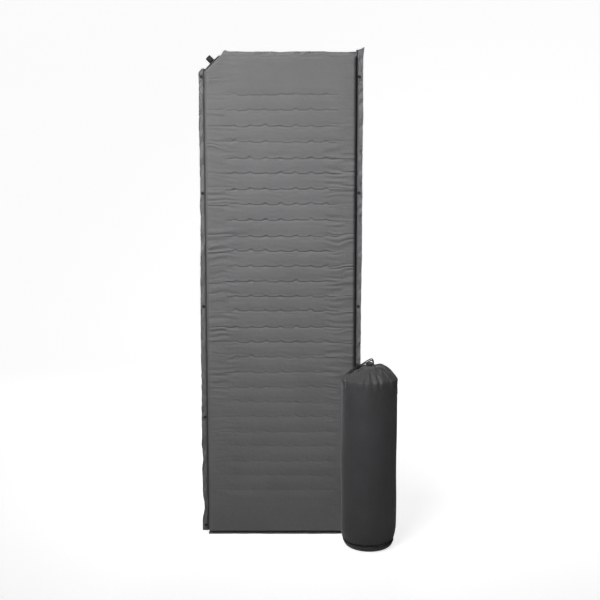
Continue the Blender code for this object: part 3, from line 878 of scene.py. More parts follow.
class SleepingPadDrawcord(bpy.types.Operator):
    """The braided drawcord, from the hem through its lock and back"""

    bl_idname = "sleeping_pad.drawcord"
    bl_label = "Drawcord"

    def execute(self, context):
        look = context.scene.cord_look
        middle = -0.0120
        stacked = [0.0027 * float(ramp(x, -0.034, -0.012) * ramp(z, 0.7085, 0.7140)) for x, _, z in STRAND]
        front = [(x, middle - s * 0.7, z - k) for (x, s, z), k in zip(STRAND, stacked)]
        rear = [(x, middle + s * 0.7, z + k) for (x, s, z), k in zip(STRAND, stacked)]
        for i, (x, spread, z) in enumerate(STRAND):
            if x < -0.030:
                front[i] = (x, middle - spread, z)
                rear[i] = (x, middle + spread, z)
        rear.reverse()
        route = front + [(LOOP_TIP[0], middle, LOOP_TIP[2])] + rear
        route = [SACK_AXIS + Vector(point) for point in route]
        points, length = smooth_route(route, look.diameter * 0.6)
        curve = bpy.data.curves.new("braided_drawcord", "CURVE")
        curve.dimensions = "3D"
        curve.bevel_depth = look.diameter / 2
        curve.bevel_resolution = 4
        curve.use_fill_caps = True
        line = curve.splines.new("POLY")
        line.points.add(len(points) - 1)
        for point, place in zip(line.points, points):
            point.co = (*place, 1)
        draft = bpy.data.objects.new("braided_drawcord", curve)
        context.scene.collection.objects.link(draft)
        cord = settle(draft)
        bm = bmesh.new()
        bm.from_mesh(cord.data)
        bmesh.ops.remove_doubles(bm, verts=bm.verts, dist=1e-6)
        bmesh.ops.recalc_face_normals(bm, faces=bm.faces)
        bm.to_mesh(cord.data)
        bm.free()
        cord.data.materials.clear()
        cord.data.materials.append(finish(context, "braided_cord"))
        cord.data.shade_smooth()
        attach(cord, "sack")
        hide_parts("drawcord")
        return {"FINISHED"}


class SleepingPadCordLock(bpy.types.Operator):
    """The cord lock's barrel and its sprung plunger"""

    bl_idname = "sleeping_pad.cord_lock"
    bl_label = "Cord Lock"

    def execute(self, context):
        look = context.scene.cord_look
        middle, length, proud = lock_frame()
        place = facing(middle, (0, 1, 0))
        radius = (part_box("lock_barrel")[1].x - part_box("lock_barrel")[0].x) / 2
        button = (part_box("lock_plunger")[1].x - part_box("lock_plunger")[0].x) / 2
        bore = button + 0.0004
        wall = 0.0015
        outside = [(0.0, length), (radius * 0.72, length - 0.0002), (radius * 0.98, length - 0.0028)]
        outside += [(radius, length - 0.0090), (radius * 0.985, length - 0.0094),
                    (radius * 0.985, length - 0.0112)]
        outside += [(radius, length - 0.0116), (radius, 0.0034), (radius, 0.0012), (radius * 0.9, 0.0)]
        inside = [(bore + 0.0004, 0.0), (bore, 0.0006), (bore, length - wall), (0.0, length - wall)]
        barrel = piece(
            "lock_barrel_moulding", spun(rounded(outside + inside, 0.0009), 64, place),
            finish(context, "moulded_black")
        )
        centre = SACK_AXIS + Vector((-0.0445, -0.0120, 0.7025))
        slanted = Matrix.Translation(centre) @ Matrix.Rotation(-look.lock_slope, 4, "Y")
        half, high, travel = 0.0049, 0.00225, 0.0035
        barrel = carve(barrel, self.slot(slanted, -half, half, high))
        stem_end = 0.0175
        stem = [(0.0, stem_end), (button, stem_end), (button, -proud + 0.0014), (button * 0.8, -proud)]
        stem += [(button * 0.55, -proud + 0.0003), (0.0, -proud + 0.0005)]
        plunger = piece(
            "lock_button_moulding", spun(rounded(stem, 0.0006), 56, place), finish(context, "moulded_black")
        )
        plunger = carve(plunger, self.slot(slanted, -half - travel, half, high))
        for made, node, body in ((barrel, "lock_barrel", "cord_lock"),
                                 (plunger, "lock_plunger", "lock_button")):
            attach(made, body)
            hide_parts(node)
        return {"FINISHED"}

    def slot(self, place, low, high, half):
        """A round-edged bar that cuts the cord's slot through the lock."""
        bm = bmesh.new()
        bmesh.ops.create_cube(bm, size=1.0)
        bmesh.ops.scale(bm, vec=(0.04, high - low, half * 2), verts=bm.verts)
        bmesh.ops.translate(bm, vec=(0, (high + low) / 2, 0), verts=bm.verts)
        long_edges = [e for e in bm.edges if abs((e.verts[0].co - e.verts[1].co).x) > 0.01]
        bmesh.ops.bevel(
            bm, geom=long_edges, offset=half * 0.7, segments=4, profile=0.5, affect="EDGES", material=-1
        )
        bmesh.ops.transform(bm, matrix=place, verts=bm.verts)
        return piece("slot_bar", bm, finish(bpy.context, "moulded_black"))


# ---------------------------------------------------------------- pad


def body_limits():
    """Half the body's width, and its lowest and highest height."""
    return (FACE_HIGH.x - FACE_LOW.x) / 2, FACE_LOW.z, FACE_HIGH.z


def row_relief(look, x, z):
    """How far the cloth stands in or out over the rows of foam slots, in metres."""
    rng = np.random.default_rng(look.seed)
    shape = (look.row_count, look.bridge_count + 2)
    arch_height = rng.uniform(0.35, 1.15, shape)
    arch_depth = rng.uniform(0.5, 1.3, shape)
    dash_depth = rng.uniform(0.55, 1.25, shape)
    under_depth = rng.uniform(-0.5, 1.0, shape)
    dash_step = rng.normal(0, 0.0010, shape)
    wander = rng.normal(0, 0.0016, look.row_count)
    row = np.clip(np.rint((z - look.first_row) / look.row_pitch), 0, look.row_count - 1).astype(int)
    middle = (look.bridge_count - 1) / 2
    bridge = np.clip(np.rint(x / look.bridge_pitch + middle), 0, look.bridge_count - 1).astype(int)
    dash = np.clip(np.floor(x / look.bridge_pitch + middle) + 1, 0, look.bridge_count + 1).astype(int)
    at_bridge = np.exp(-(((x - (bridge - middle) * look.bridge_pitch) / 0.0098) ** 4))
    line = look.first_row + row * look.row_pitch + wander[row] + dash_step[row, dash]
    line = line + 0.0013 * smooth_noise(look.seed + 1, x / 0.045, row * 3.7)
    line = line + 0.0058 * at_bridge * arch_height[row, bridge]
    span = (middle + 0.55) * look.bridge_pitch + 0.012 * smooth_noise(look.seed + 2, row * 1.3,
                                                                      np.sign(x) * 5.1)
    inside = 1 - ramp(np.abs(x), span - 0.006, span + 0.016)
    height = z - line
    width = np.where(height > 0, 0.0019, 0.0050) + 0.0012 * at_bridge
    groove = np.exp(-((height / width) ** 2)) * (
        dash_depth[row, dash] * (1 - at_bridge) + 1.55 * arch_depth[row, bridge] * at_bridge
    )
    lip = np.exp(-(((height - 0.0042) / 0.0028) ** 2)) * 0.40
    under = np.exp(-(((height + 0.0098) / 0.0020) ** 2)) * np.clip(under_depth[row, dash], 0,
                                                                   1) * (1 - at_bridge)
    strength = 0.62 + 0.5 * hump(z, 1.15, 0.42) - 0.40 * (1 - ramp(z, 0.32, 0.78))
    relief = inside * strength * look.crease_depth * (lip - groove - 0.85 * under)
    swell = np.cos(2 * math.pi * (z - look.first_row - 0.5 * look.row_pitch) / look.row_pitch)
    rows_zone = ramp(z, 0.10, 0.18) * (1 - ramp(z, 1.72, 1.79))
    return relief + 0.00042 * swell * inside * rows_zone


def loose_cloth(name, size, faces, slack, held_at, frames=14):
    """Lets a flat cloth with some slack settle against air pressure, held where held_at gives 1.

    Returns how far it stands out, as an array by height and then by width.
    """
    across, along = faces
    bm = bmesh.new()
    bmesh.ops.create_grid(bm, x_segments=across, y_segments=along, size=0.5)
    bmesh.ops.transform(bm, matrix=Matrix.Rotation(math.pi / 2, 4, "X"), verts=bm.verts)
    bmesh.ops.scale(bm, vec=(size[0], 1, size[1]), verts=bm.verts)
    draft = piece(name, bm, finish(bpy.context, "pad_polyester"), recalculate=False)
    points = read_points(draft.data)
    column = np.rint((points[:, 0] / size[0] + 0.5) * across).astype(int)
    row = np.rint((points[:, 2] / size[1] + 0.5) * along).astype(int)
    held = held_at(points[:, 0], points[:, 2])
    laid = draft.shape_key_add(name="laid")
    cut = draft.shape_key_add(name="cut")
    cut.data.foreach_set("co", (points * np.array([1 + slack[0], 1, 1 + slack[1]])).ravel())
    start = points.copy()
    start[:, 1] = 0.0005 * smooth_noise(21, points[:, 0] / 0.05, points[:, 2] / 0.009) * (1 - held)
    laid.data.foreach_set("co", start.ravel())
    group = draft.vertex_groups.new(name="held")
    for index in np.nonzero(held > 0.05)[0]:
        group.add([int(index)], float(held[index]), "REPLACE")
    cloth = draft.modifiers.new("cloth", "CLOTH")
    rules = cloth.settings
    rules.quality = 4
    rules.mass = 0.0004
    rules.tension_stiffness = 5
    rules.compression_stiffness = 5
    rules.shear_stiffness = 1
    rules.bending_stiffness = 0.001
    rules.air_damping = 1
    rules.vertex_group_mass = "held"
    rules.rest_shape_key = cut
    rules.use_pressure = True
    rules.uniform_pressure_force = 12
    rules.effector_weights.gravity = 0
    cloth.collision_settings.use_collision = False
    cloth.point_cache.frame_start = 1
    cloth.point_cache.frame_end = frames
    for frame_number in range(1, frames + 1):
        bpy.context.scene.frame_set(frame_number)
    graph = bpy.context.evaluated_depsgraph_get()
    settled = read_points(draft.evaluated_get(graph).to_mesh())
    bpy.context.scene.frame_set(1)
    bpy.data.objects.remove(draft)
    field = np.zeros((along + 1, across + 1))
    field[row, column] = -settled[:, 1]
    return field


def sampled(field, u, v):
    """The field between its points; u and v run from 0 to 1 across and along it."""
    tall, wide = field.shape
    x = np.clip(u, 0, 1) * (wide - 1)
    y = np.clip(v, 0, 1) * (tall - 1)
    left = np.clip(np.floor(x).astype(int), 0, wide - 2)
    low = np.clip(np.floor(y).astype(int), 0, tall - 2)
    a, b = x - left, y - low
    lower = field[low, left] * (1 - a) + field[low, left + 1] * a
    upper = field[low + 1, left] * (1 - a) + field[low + 1, left + 1] * a
    return lower * (1 - b) + upper * b


def wrinkle_relief(look, x, z):
    """Fine wrinkles that run out of the rows' ends across the margins, and lie between the rows."""
    reach = np.abs(x)
    phase = 2 * math.pi * (z - look.first_row) / look.row_pitch
    fan = 0.005 * np.sin(phase) * ramp(reach, 0.17, 0.27)
    bend = 0.006 * smooth_noise(look.seed + 3, x / 0.055, z / 0.09)
    fold_a = smooth_noise(look.seed + 4, x / 0.075 + 11.3, (z + fan + bend) / 0.0070)
    fold_b = smooth_noise(look.seed + 5, x / 0.045 + 3.1, (z + bend * 1.7 - 0.12 * x) / 0.0054)
    crest = 1.8 * fold_a + 0.7 * ridges(fold_a, 5.0) - 0.9 * ridges(fold_b, 4.0)
    margin = ramp(reach, 0.150, 0.200)
    tall = ramp(z, 0.30, 0.80) * (1 - 0.75 * ramp(z, 1.45, 1.72))
    patch = 0.70 + 0.45 * smooth_noise(look.seed + 6, x / 0.12, z / 0.07)
    relief = 0.00175 * crest * patch * (0.20 + 0.80 * margin) * (0.16 + 0.84 * tall)
    slant = smooth_noise(look.seed + 7, (x + 0.9 * z) / 0.11, (z - 0.75 * x + bend) / 0.016)
    right = ramp(x, 0.03, 0.16) * hump(z, 1.02, 0.30)
    relief = relief + 0.0005 * ridges(slant, 3.0) * right * patch
    broad = smooth_noise(look.seed + 8, x / 0.16, z / 0.22)
    return relief + 0.0007 * broad


class SleepingPadCover(bpy.types.Operator):
    """The pad's cloth cover: both faces, the turned edges and the seam between them"""

    bl_idname = "sleeping_pad.cover"
    bl_label = "Pad Cover"

    def execute(self, context):
        look = context.scene.pad_look
        half, low, high = body_limits()
        bm = bmesh.new()
        bmesh.ops.create_grid(bm, x_segments=look.columns, y_segments=look.rows, size=0.5)
        upright = Matrix.Rotation(math.pi / 2, 4, "X")
        bmesh.ops.transform(bm, matrix=upright, verts=bm.verts)
        bmesh.ops.scale(bm, vec=(half * 2, 1, high - low), verts=bm.verts)
        bmesh.ops.translate(bm, vec=(0, 0, (high + low) / 2), verts=bm.verts)
        self.crowd_rows(bm, look, low, high)
        corner = Vector((-half + look.corner_cut / 2, 0, high - look.corner_cut / 2))
        geom = list(bm.verts) + list(bm.edges) + list(bm.faces)
        bmesh.ops.bisect_plane(
            bm, geom=geom, dist=1e-6, plane_co=corner, plane_no=Vector((-1, 0, 1)).normalized(),
            clear_outer=True
        )
        cover = piece("pad_cover", bm, finish(context, "pad_polyester"), recalculate=False)
        self.turn_edges(cover.data, look, half, low, high)
        bm = bmesh.new()
        bm.from_mesh(cover.data)
        geom = list(bm.verts) + list(bm.edges) + list(bm.faces)
        bmesh.ops.mirror(bm, geom=geom, matrix=Matrix.Identity(4), merge_dist=1e-5, axis="Y")
        bmesh.ops.recalc_face_normals(bm, faces=bm.faces)
        bm.to_mesh(cover.data)
        bm.free()
        cover.data.shade_smooth()
        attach(cover, "pad")
        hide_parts("front_sheet", "back_sheet")
        return {"FINISHED"}

    def settled(self, look, half, low, high, x, z):
        """The loose cover, simulated: held along its edges and by the foam's rows of slots."""
        middle = (low + high) / 2

        def held_at(across, along):
            edge = np.minimum(half - np.abs(across), (high - low) / 2 - np.abs(along))
            row = (along + middle - look.first_row) / look.row_pitch
            near = np.abs(row - np.rint(row)) * look.row_pitch
            span = (look.bridge_count / 2) * look.bridge_pitch
            on_row = (near < 0.0035) * (np.abs(across) < span
                                        - 0.01) * (row > -0.5) * (row < look.row_count - 0.5)
            return np.maximum((edge < 0.010) * 1.0, on_row * 0.9)

        field = loose_cloth("loose_cover", (half * 2, high - low), SETTLED_GRID, SLACK, held_at)
        field = np.clip(field, -SETTLED_LIMIT, SETTLED_LIMIT)
        return sampled(field, x / (2 * half) + 0.5, (z - low) / (high - low))

    def crowd_rows(self, bm, look, low, high):
        """Brings the grid's rows closer together over each crease."""
        reach = 0.5 / (2 * math.pi) * look.row_pitch
        for vert in bm.verts:
            z = vert.co.z
            window = min(1.0, (z - low) / 0.05, (high - z) / 0.05)
            vert.co.z = z - window * reach * math.sin(2 * math.pi * (z - look.first_row) / look.row_pitch)

    def turn_edges(self, mesh, look, half, low, high):
        """Moves the flat sheet out over the foam, down round its edges and in to the seam."""
        points = read_points(mesh)
        x, z = points[:, 0].copy(), points[:, 2].copy()
        width = look.edge_width
        relief = row_relief(look, x, z) + wrinkle_relief(look, x, z)
        relief = relief + SETTLED_SHARE * self.settled(look, half, low, high, x, z)
        from_side = half - np.abs(x)
        from_foot = z - low
        from_head = high - z
        from_cut = ((x + half) + (high - z) - look.corner_cut) / math.sqrt(2)
        rise = []
        for distance in (from_side, from_foot, from_head, from_cut):
            share = np.clip(distance / width, 0, 1)
            rise.append(np.sin(math.pi / 2 * share))
        turn = [np.clip(d / width, 0, 1) * width - width
                * (1 - np.cos(math.pi / 2 * np.clip(d / width, 0, 1)))
                for d in (from_side, from_foot, from_head, from_cut)]
        x = x + np.sign(x) * turn[0] - turn[3] / math.sqrt(2)
        z = z - turn[1] + turn[2] + turn[3] / math.sqrt(2)
        cover = rise[0] * rise[1] * rise[2] * rise[3]
        flat = cover ** 3
        crown = 0.0014 + look.crown * (1 - (points[:, 0] / half) ** 2)
        thick = FACE_HIGH.y - FACE_LOW.y
        pucker = smooth_noise(look.seed + 9, points[:, 2] / 0.017, np.sign(points[:, 0]) * 3.3)
        side = (1 - ramp(from_side, 0.004, 0.045)) * cover
        relief = relief * flat + 0.0008 * pucker * side
        depth = thick * cover + crown * flat + relief
        write_points(mesh, np.stack([x, -depth, z], axis=1))


class SleepingPadFlanges(bpy.types.Operator):
    """The welded strips: one down each side, one along the head and one under the foot"""

    bl_idname = "sleeping_pad.flanges"
    bl_label = "Flanges"

    def execute(self, context):
        self.side_flange(context, "left_strip", "flange_left", "left_flange", -1, LEFT_LOW, LEFT_HIGH)
        self.side_flange(context, "right_strip", "flange_right", "right_flange", 1, RIGHT_LOW, RIGHT_HIGH)
        self.head_strip(context)
        self.foot_strip(context)
        return {"FINISHED"}

    def strip(self, name, across, along, context):
        """A flat unit strip: X from 0 to 1 across it and Z from 0 to 1 along it."""
        bm = bmesh.new()
        bmesh.ops.create_grid(bm, x_segments=across, y_segments=along, size=0.5)
        bmesh.ops.transform(bm, matrix=Matrix.Rotation(math.pi / 2, 4, "X"), verts=bm.verts)
        bmesh.ops.translate(bm, vec=(0.5, 0, 0.5), verts=bm.verts)
        return piece(name, bm, finish(context, "welded_strip"), recalculate=False)

    def thicken(self, made, thickness):
        bm = bmesh.new()
        bm.from_mesh(made.data)
        bmesh.ops.recalc_face_normals(bm, faces=bm.faces)
        bmesh.ops.solidify(bm, geom=bm.faces, thickness=thickness)
        bmesh.ops.recalc_face_normals(bm, faces=bm.faces)
        bm.to_mesh(made.data)
        bm.free()
        made.data.shade_smooth()
        made.data.set_sharp_from_angle(angle=math.radians(55))

    def side_flange(self, context, name, node, body, side, low, high):
        look = context.scene.flange_look
        seed = look.seed + (0 if side < 0 else 40)
        half = body_limits()[0]
        wide = (high.x - low.x) + 0.0012
        made = self.strip(name, 10, 640, context)
        points = read_points(made.data)
        u, v = points[:, 0].copy(), points[:, 2].copy()
        z = low.z + (high.z - low.z) * v
        kind = "snap_cap" if side < 0 else "snap_socket"
        snaps = [sum(c.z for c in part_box(f"{kind}_{i}")) / 2 for i in SNAP_ROWS]
        calm = np.ones_like(z)
        for snap in snaps:
            calm = calm * (1 - 0.96 * hump(z, snap, 0.013))
        edge = 0.0011 * smooth_noise(seed, z / 0.05, z * 0)
        if side < 0:
            edge = edge - 0.0075 * hump(z, 0.105, 0.036) - 0.003 * hump(z, 0.30, 0.03)
            edge = edge + 0.002 * hump(z, 0.045, 0.02)
            edge = edge + 0.0034 * (1 - ramp(z, 0.95, 1.20))
            z = z - 0.012 * ramp(z, high.z - 0.14, high.z)
            top = ramp(z, high.z - 0.036, high.z - 0.012)
            edge = edge - 0.012 * top**2
        else:
            edge = edge + 0.0042 * ramp(z, 0.55, 1.30) + 0.0030 * ramp(z, high.z - 0.03, high.z)
            z = z + 0.0110 * ramp(z, high.z - 0.045, high.z) * u**2.2
            edge = edge - 0.003 * hump(z, 0.10, 0.05)
        x = half - 0.0012 + (wide + edge) * u
        waves = 0.60 * smooth_noise(seed + 1, z / 0.046 + 0.9 * u, z * 0)
        waves = waves + 0.52 * smooth_noise(seed + 2, z / 0.021 - 1.1 * u, z * 0 + 2)
        folds = ridges(smooth_noise(seed + 3, z / 0.030 + 1.5 * u, u * 0.7), 3.0)
        lift = u**1.1 * calm
        valley = 0.0048 * np.sin(math.pi * np.clip(u / 0.36, 0, 1)) ** 1.3
        y = 1.15 * look.ripple * lift * (waves + 0.60 * folds - 0.1) + valley
        y = y + 0.0004 * smooth_noise(seed + 4, z / 0.007, u * 3) * calm * u
        write_points(made.data, np.stack([side * x, y + look.cloth / 2, z], axis=1))
        # The seam attribute masks the strip's inner edge for the painted shade of the crease at the weld
        # line.
        seam = made.data.attributes.new("seam", "FLOAT", "POINT")
        seam.data.foreach_set("value", (1 - ramp(u, 0.10, 0.36)).astype(np.float32))
        self.thicken(made, look.cloth)
        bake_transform(made)
        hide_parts(node)

    def head_strip(self, context):
        look = context.scene.flange_look
        seed = look.seed + 80
        made = self.strip("head_strip", 320, 8, context)
        points = read_points(made.data)
        u, v = points[:, 0].copy(), points[:, 2].copy()
        x = HEAD_LOW.x - 0.002 + (HEAD_HIGH.x - HEAD_LOW.x + 0.003) * u
        rise = 0.0012 * smooth_noise(seed, x / 0.04, x * 0) + 0.0052 * hump(x, HEAD_LOW.x + 0.012, 0.010)
        rise = rise - 0.0062 - 0.0110 * hump(x, HEAD_LOW.x - 0.003, 0.008)
        z = HEAD_LOW.z - 0.0015 + (HEAD_HIGH.z - HEAD_LOW.z + 0.0015 + rise) * v
        waves = 0.7 * smooth_noise(seed + 1, x / 0.055 + 0.6 * v, x * 0) + 0.4 * smooth_noise(
            seed + 2, x / 0.021 - v, x * 0 + 4
        )
        y = look.ripple * 0.9 * v**1.2 * waves
        write_points(made.data, np.stack([x, y + look.cloth / 2, z], axis=1))
        self.thicken(made, look.cloth)
        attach(made, "pad")
        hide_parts("head_flange")

    def foot_strip(self, context):
        look = context.scene.flange_look
        seed = look.seed + 120
        made = self.strip("foot_strip", 320, 12, context)
        points = read_points(made.data)
        u, v = points[:, 0].copy(), points[:, 2].copy()
        x = FOOT_LOW.x + (FOOT_HIGH.x - FOOT_LOW.x) * u
        front = FOOT_LOW.y + 0.0012 * smooth_noise(seed, x / 0.05, x * 0)
        y = front + (FOOT_HIGH.y - front) * v
        lift = ramp(-y, 0.010, 0.032)
        z = 0.0001 + 0.0010 * lift * (0.5 + 0.5 * smooth_noise(seed + 1, x / 0.03, x * 0))
        write_points(made.data, np.stack([x, y, z], axis=1))
        self.thicken(made, -look.cloth)
        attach(made, "pad")
        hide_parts("foot_flange")


class SleepingPadSnaps(bpy.types.Operator):
    """The snaps: caps and studs on the left strip, sockets and eyelets on the right one"""

    bl_idname = "sleeping_pad.snaps"
    bl_label = "Snaps"

    def execute(self, context):
        for kind, body in (
            ("snap_cap", "left_flange"),
            ("snap_stud", "left_flange"),
            ("snap_socket", "right_flange"),
            ("snap_eyelet", "right_flange"),
        ):
            for row in SNAP_ROWS:
                node = f"{kind}_{row}"
                low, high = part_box(node)
                front = kind in ("snap_cap", "snap_socket")
                foot = high.y if front else low.y
                tall = high.y - low.y
                place = facing(((low.x + high.x) / 2, foot, (low.z + high.z) / 2), (0, -1 if front else 1, 0))
                radius = (high.x - low.x) / 2
                profile = rounded(self.profile(kind, radius, tall), 0.0005, 3)
                made = piece(f"{node}_moulding", spun(profile, 40, place), finish(context, "snap_black"))
                made.data.set_sharp_from_angle(angle=math.radians(40))
                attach(made, body)
                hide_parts(node)
        return {"FINISHED"}

    def profile(self, kind, radius, tall):
        """Radius and height of each kind of snap, from its outer foot to its middle and back under it."""
        if kind == "snap_cap":
            return [(0, 0), (radius, 0), (radius, tall * 0.45), (radius * 0.84, tall * 0.92),
                    (radius * 0.70, tall),
                    (radius * 0.62, tall * 0.86), (radius * 0.30, tall * 0.94), (0, tall * 0.98)]
        if kind == "snap_socket":
            return [(0, 0), (radius, 0), (radius, tall * 0.55), (radius * 0.86, tall), (radius * 0.52, tall),
                    (radius * 0.44, tall * 0.80), (radius * 0.44, tall * 0.30), (0, tall * 0.25)]
        if kind == "snap_stud":
            return [(0, 0), (radius, 0), (radius, tall * 0.22), (radius * 0.55, tall * 0.34),
                    (radius * 0.34, tall * 0.45),
                    (radius * 0.32, tall * 0.70), (radius * 0.40, tall * 0.88), (radius * 0.30, tall),
                    (0, tall)]
        return [(0, 0), (radius, 0), (radius, tall * 0.6), (radius * 0.80, tall),
                (radius * 0.36, tall * 0.95),
                (radius * 0.30, tall * 0.55), (0, tall * 0.5)]


# ---------------------------------------------------------------- valve


def valve_frame():
    """The valve's own frame: Z out along its axis, from the foot that its joint names."""
    turn = next(j for j in frame["joints"] if j["name"] == "knob_turn")
    return facing(Vector(turn["pos_m"]), Vector(turn["axis"]))


def valve_range(node):
    """The lowest and highest height of a node along the valve's axis, and its largest radius."""
    inverse = valve_frame().inverted()
    points = [inverse @ v.co for v in frame["nodes"][node].data.vertices]
    heights = [p.z for p in points]
    return min(heights), max(heights), max(math.hypot(p.x, p.y) for p in points)


class SleepingPadValve(bpy.types.Operator):
    """The twist valve in the cut corner: its welded boat and tube, and the fluted knob"""

    bl_idname = "sleeping_pad.valve"
    bl_label = "Valve"

    def execute(self, context):
        self.boat(context)
        self.knob(context)
        return {"FINISHED"}

    def boat(self, context):
        """The welded foot, long along the seam, that narrows into the round tube."""
        place = valve_frame()
        low, high, _ = valve_range("valve_body")
        along = (place.inverted().to_3x3() @ Vector((1, 0, 1))).normalized()
        turn = Matrix.Rotation(math.atan2(along.y, along.x), 4, "Z")
        bm = bmesh.new()
        sides = 72
        rings = [(-0.0010, 0.0415, 0.0100), (0.0046, 0.0410, 0.0104), (0.0052, 0.0330, 0.0102),
                 (0.0055, 0.0240, 0.0100), (0.0058, 0.0165, 0.0098), (0.0062, 0.0118, 0.0094),
                 (0.0064, 0.0080, 0.0080), (high - 0.0005, 0.0080, 0.0080),
                 (high, 0.0076, 0.0076), (high, 0.0060, 0.0060), (low, 0.0060, 0.0060), (low, 0.0080, 0.0080),
                 (-0.0045, 0.0080, 0.0080), (-0.0045, 0.0130, 0.0130), (-0.0018, 0.0130, 0.0130),
                 (-0.0016, 0.0180, 0.0090), (-0.0010, 0.0415, 0.0100)]
        loops = []
        for height, long_radius, short_radius in rings[:-1]:
            ring = bmesh.ops.create_circle(bm, cap_ends=False, segments=sides, radius=1.0)["verts"]
            bmesh.ops.scale(bm, vec=(long_radius, short_radius, 1), verts=ring)
            off = -0.005 * ramp(long_radius, 0.0120, 0.0300)
            bmesh.ops.translate(bm, vec=(off, 0, height), verts=ring)
            loops.append([e for e in bm.edges if e.verts[0] in ring and e.verts[1] in ring])
        for first, second in zip(loops, loops[1:] + loops[:1]):
            bmesh.ops.bridge_loops(bm, edges=first + second)
        bmesh.ops.transform(bm, matrix=place @ turn, verts=bm.verts)
        made = piece("valve_stem", bm, finish(context, "moulded_black"))
        made.data.set_sharp_from_angle(angle=math.radians(45))
        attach(made, "pad")
        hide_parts("valve_body")

    def knob(self, context):
        place = valve_frame()
        low, high, radius = valve_range("valve_knob")
        bore, mouth = 0.0095, 0.0035
        outside = [(mouth, high - 0.0003), (radius * 0.62, high), (radius * 0.70, high - 0.0009),
                   (radius * 0.80, high - 0.0002), (radius - 0.0002, high - 0.0006), (radius, high - 0.0030),
                   (radius * 0.985, high - 0.0100), (radius, high - 0.0175), (radius, low + 0.0018),
                   (radius * 0.95, low)]
        inside = [(bore, low), (bore, high - 0.0025), (mouth, high - 0.0025), (mouth, high - 0.0003)]
        profile = rounded(outside + inside, 0.0007, 3)
        bm = spun(profile[:-1] + [profile[0]], 120, place)
        made = piece("valve_knob_moulding", bm, finish(context, "moulded_black"))
        self.flute(made.data, place, low, high, radius)
        made.data.set_sharp_from_angle(angle=math.radians(42))
        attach(made, "knob")
        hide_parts("valve_knob")

    def flute(self, mesh, place, low, high, radius):
        """Presses the finger flutes into the knob's outside."""
        inverse = place.inverted()
        count, depth = 12, 0.0009
        for vert in mesh.vertices:
            at = inverse @ vert.co
            r = math.hypot(at.x, at.y)
            if r < radius * 0.93:
                continue
            angle = math.atan2(at.y, at.x)
            groove = max(0.0, math.cos(angle * count)) ** 1.5
            ends = min(1.0, max(0.0, (high - 0.0015 - at.z) / 0.002), max(0.0, (at.z - low - 0.001) / 0.002))
            scale = (r - depth * groove * ends) / r
            at.x *= scale
            at.y *= scale
            vert.co = place @ at
        mesh.update()


# ---------------------------------------------------------------- sack


def sack_profile(look, steps):
    """Radius and height of the sack's outside, from base seam to mouth."""
    radius = (SACK_HIGH.x - SACK_LOW.x) / 2
    lean = math.radians(49)
    inset = 0.0165
    drop = (look.round_start - look.seam_height) / math.sin(lean)
    line = [
        (radius - inset + inset * math.cos(a), look.round_start - drop * math.sin(a))
        for a in (lean * (1 - i / 14) for i in range(15))
    ]
    rise = look.shoulder - 0.018 - look.round_start
    line += [(radius, look.round_start + rise * i / 70) for i in range(1, 71)]
    mouth = 0.0118
    for i in range(1, steps + 1):
        share = i / steps
        r = radius + (mouth - radius) * share
        height = look.shoulder + look.dome * (1 - (r / radius) ** look.dome_power)
        settle_in = min(1.0, share * 7)
        line.append((r if share > 0.10 else radius * (1 - 0.012 * share * 10) * (1 - settle_in) + r
                     * settle_in,
                     height))
    return line


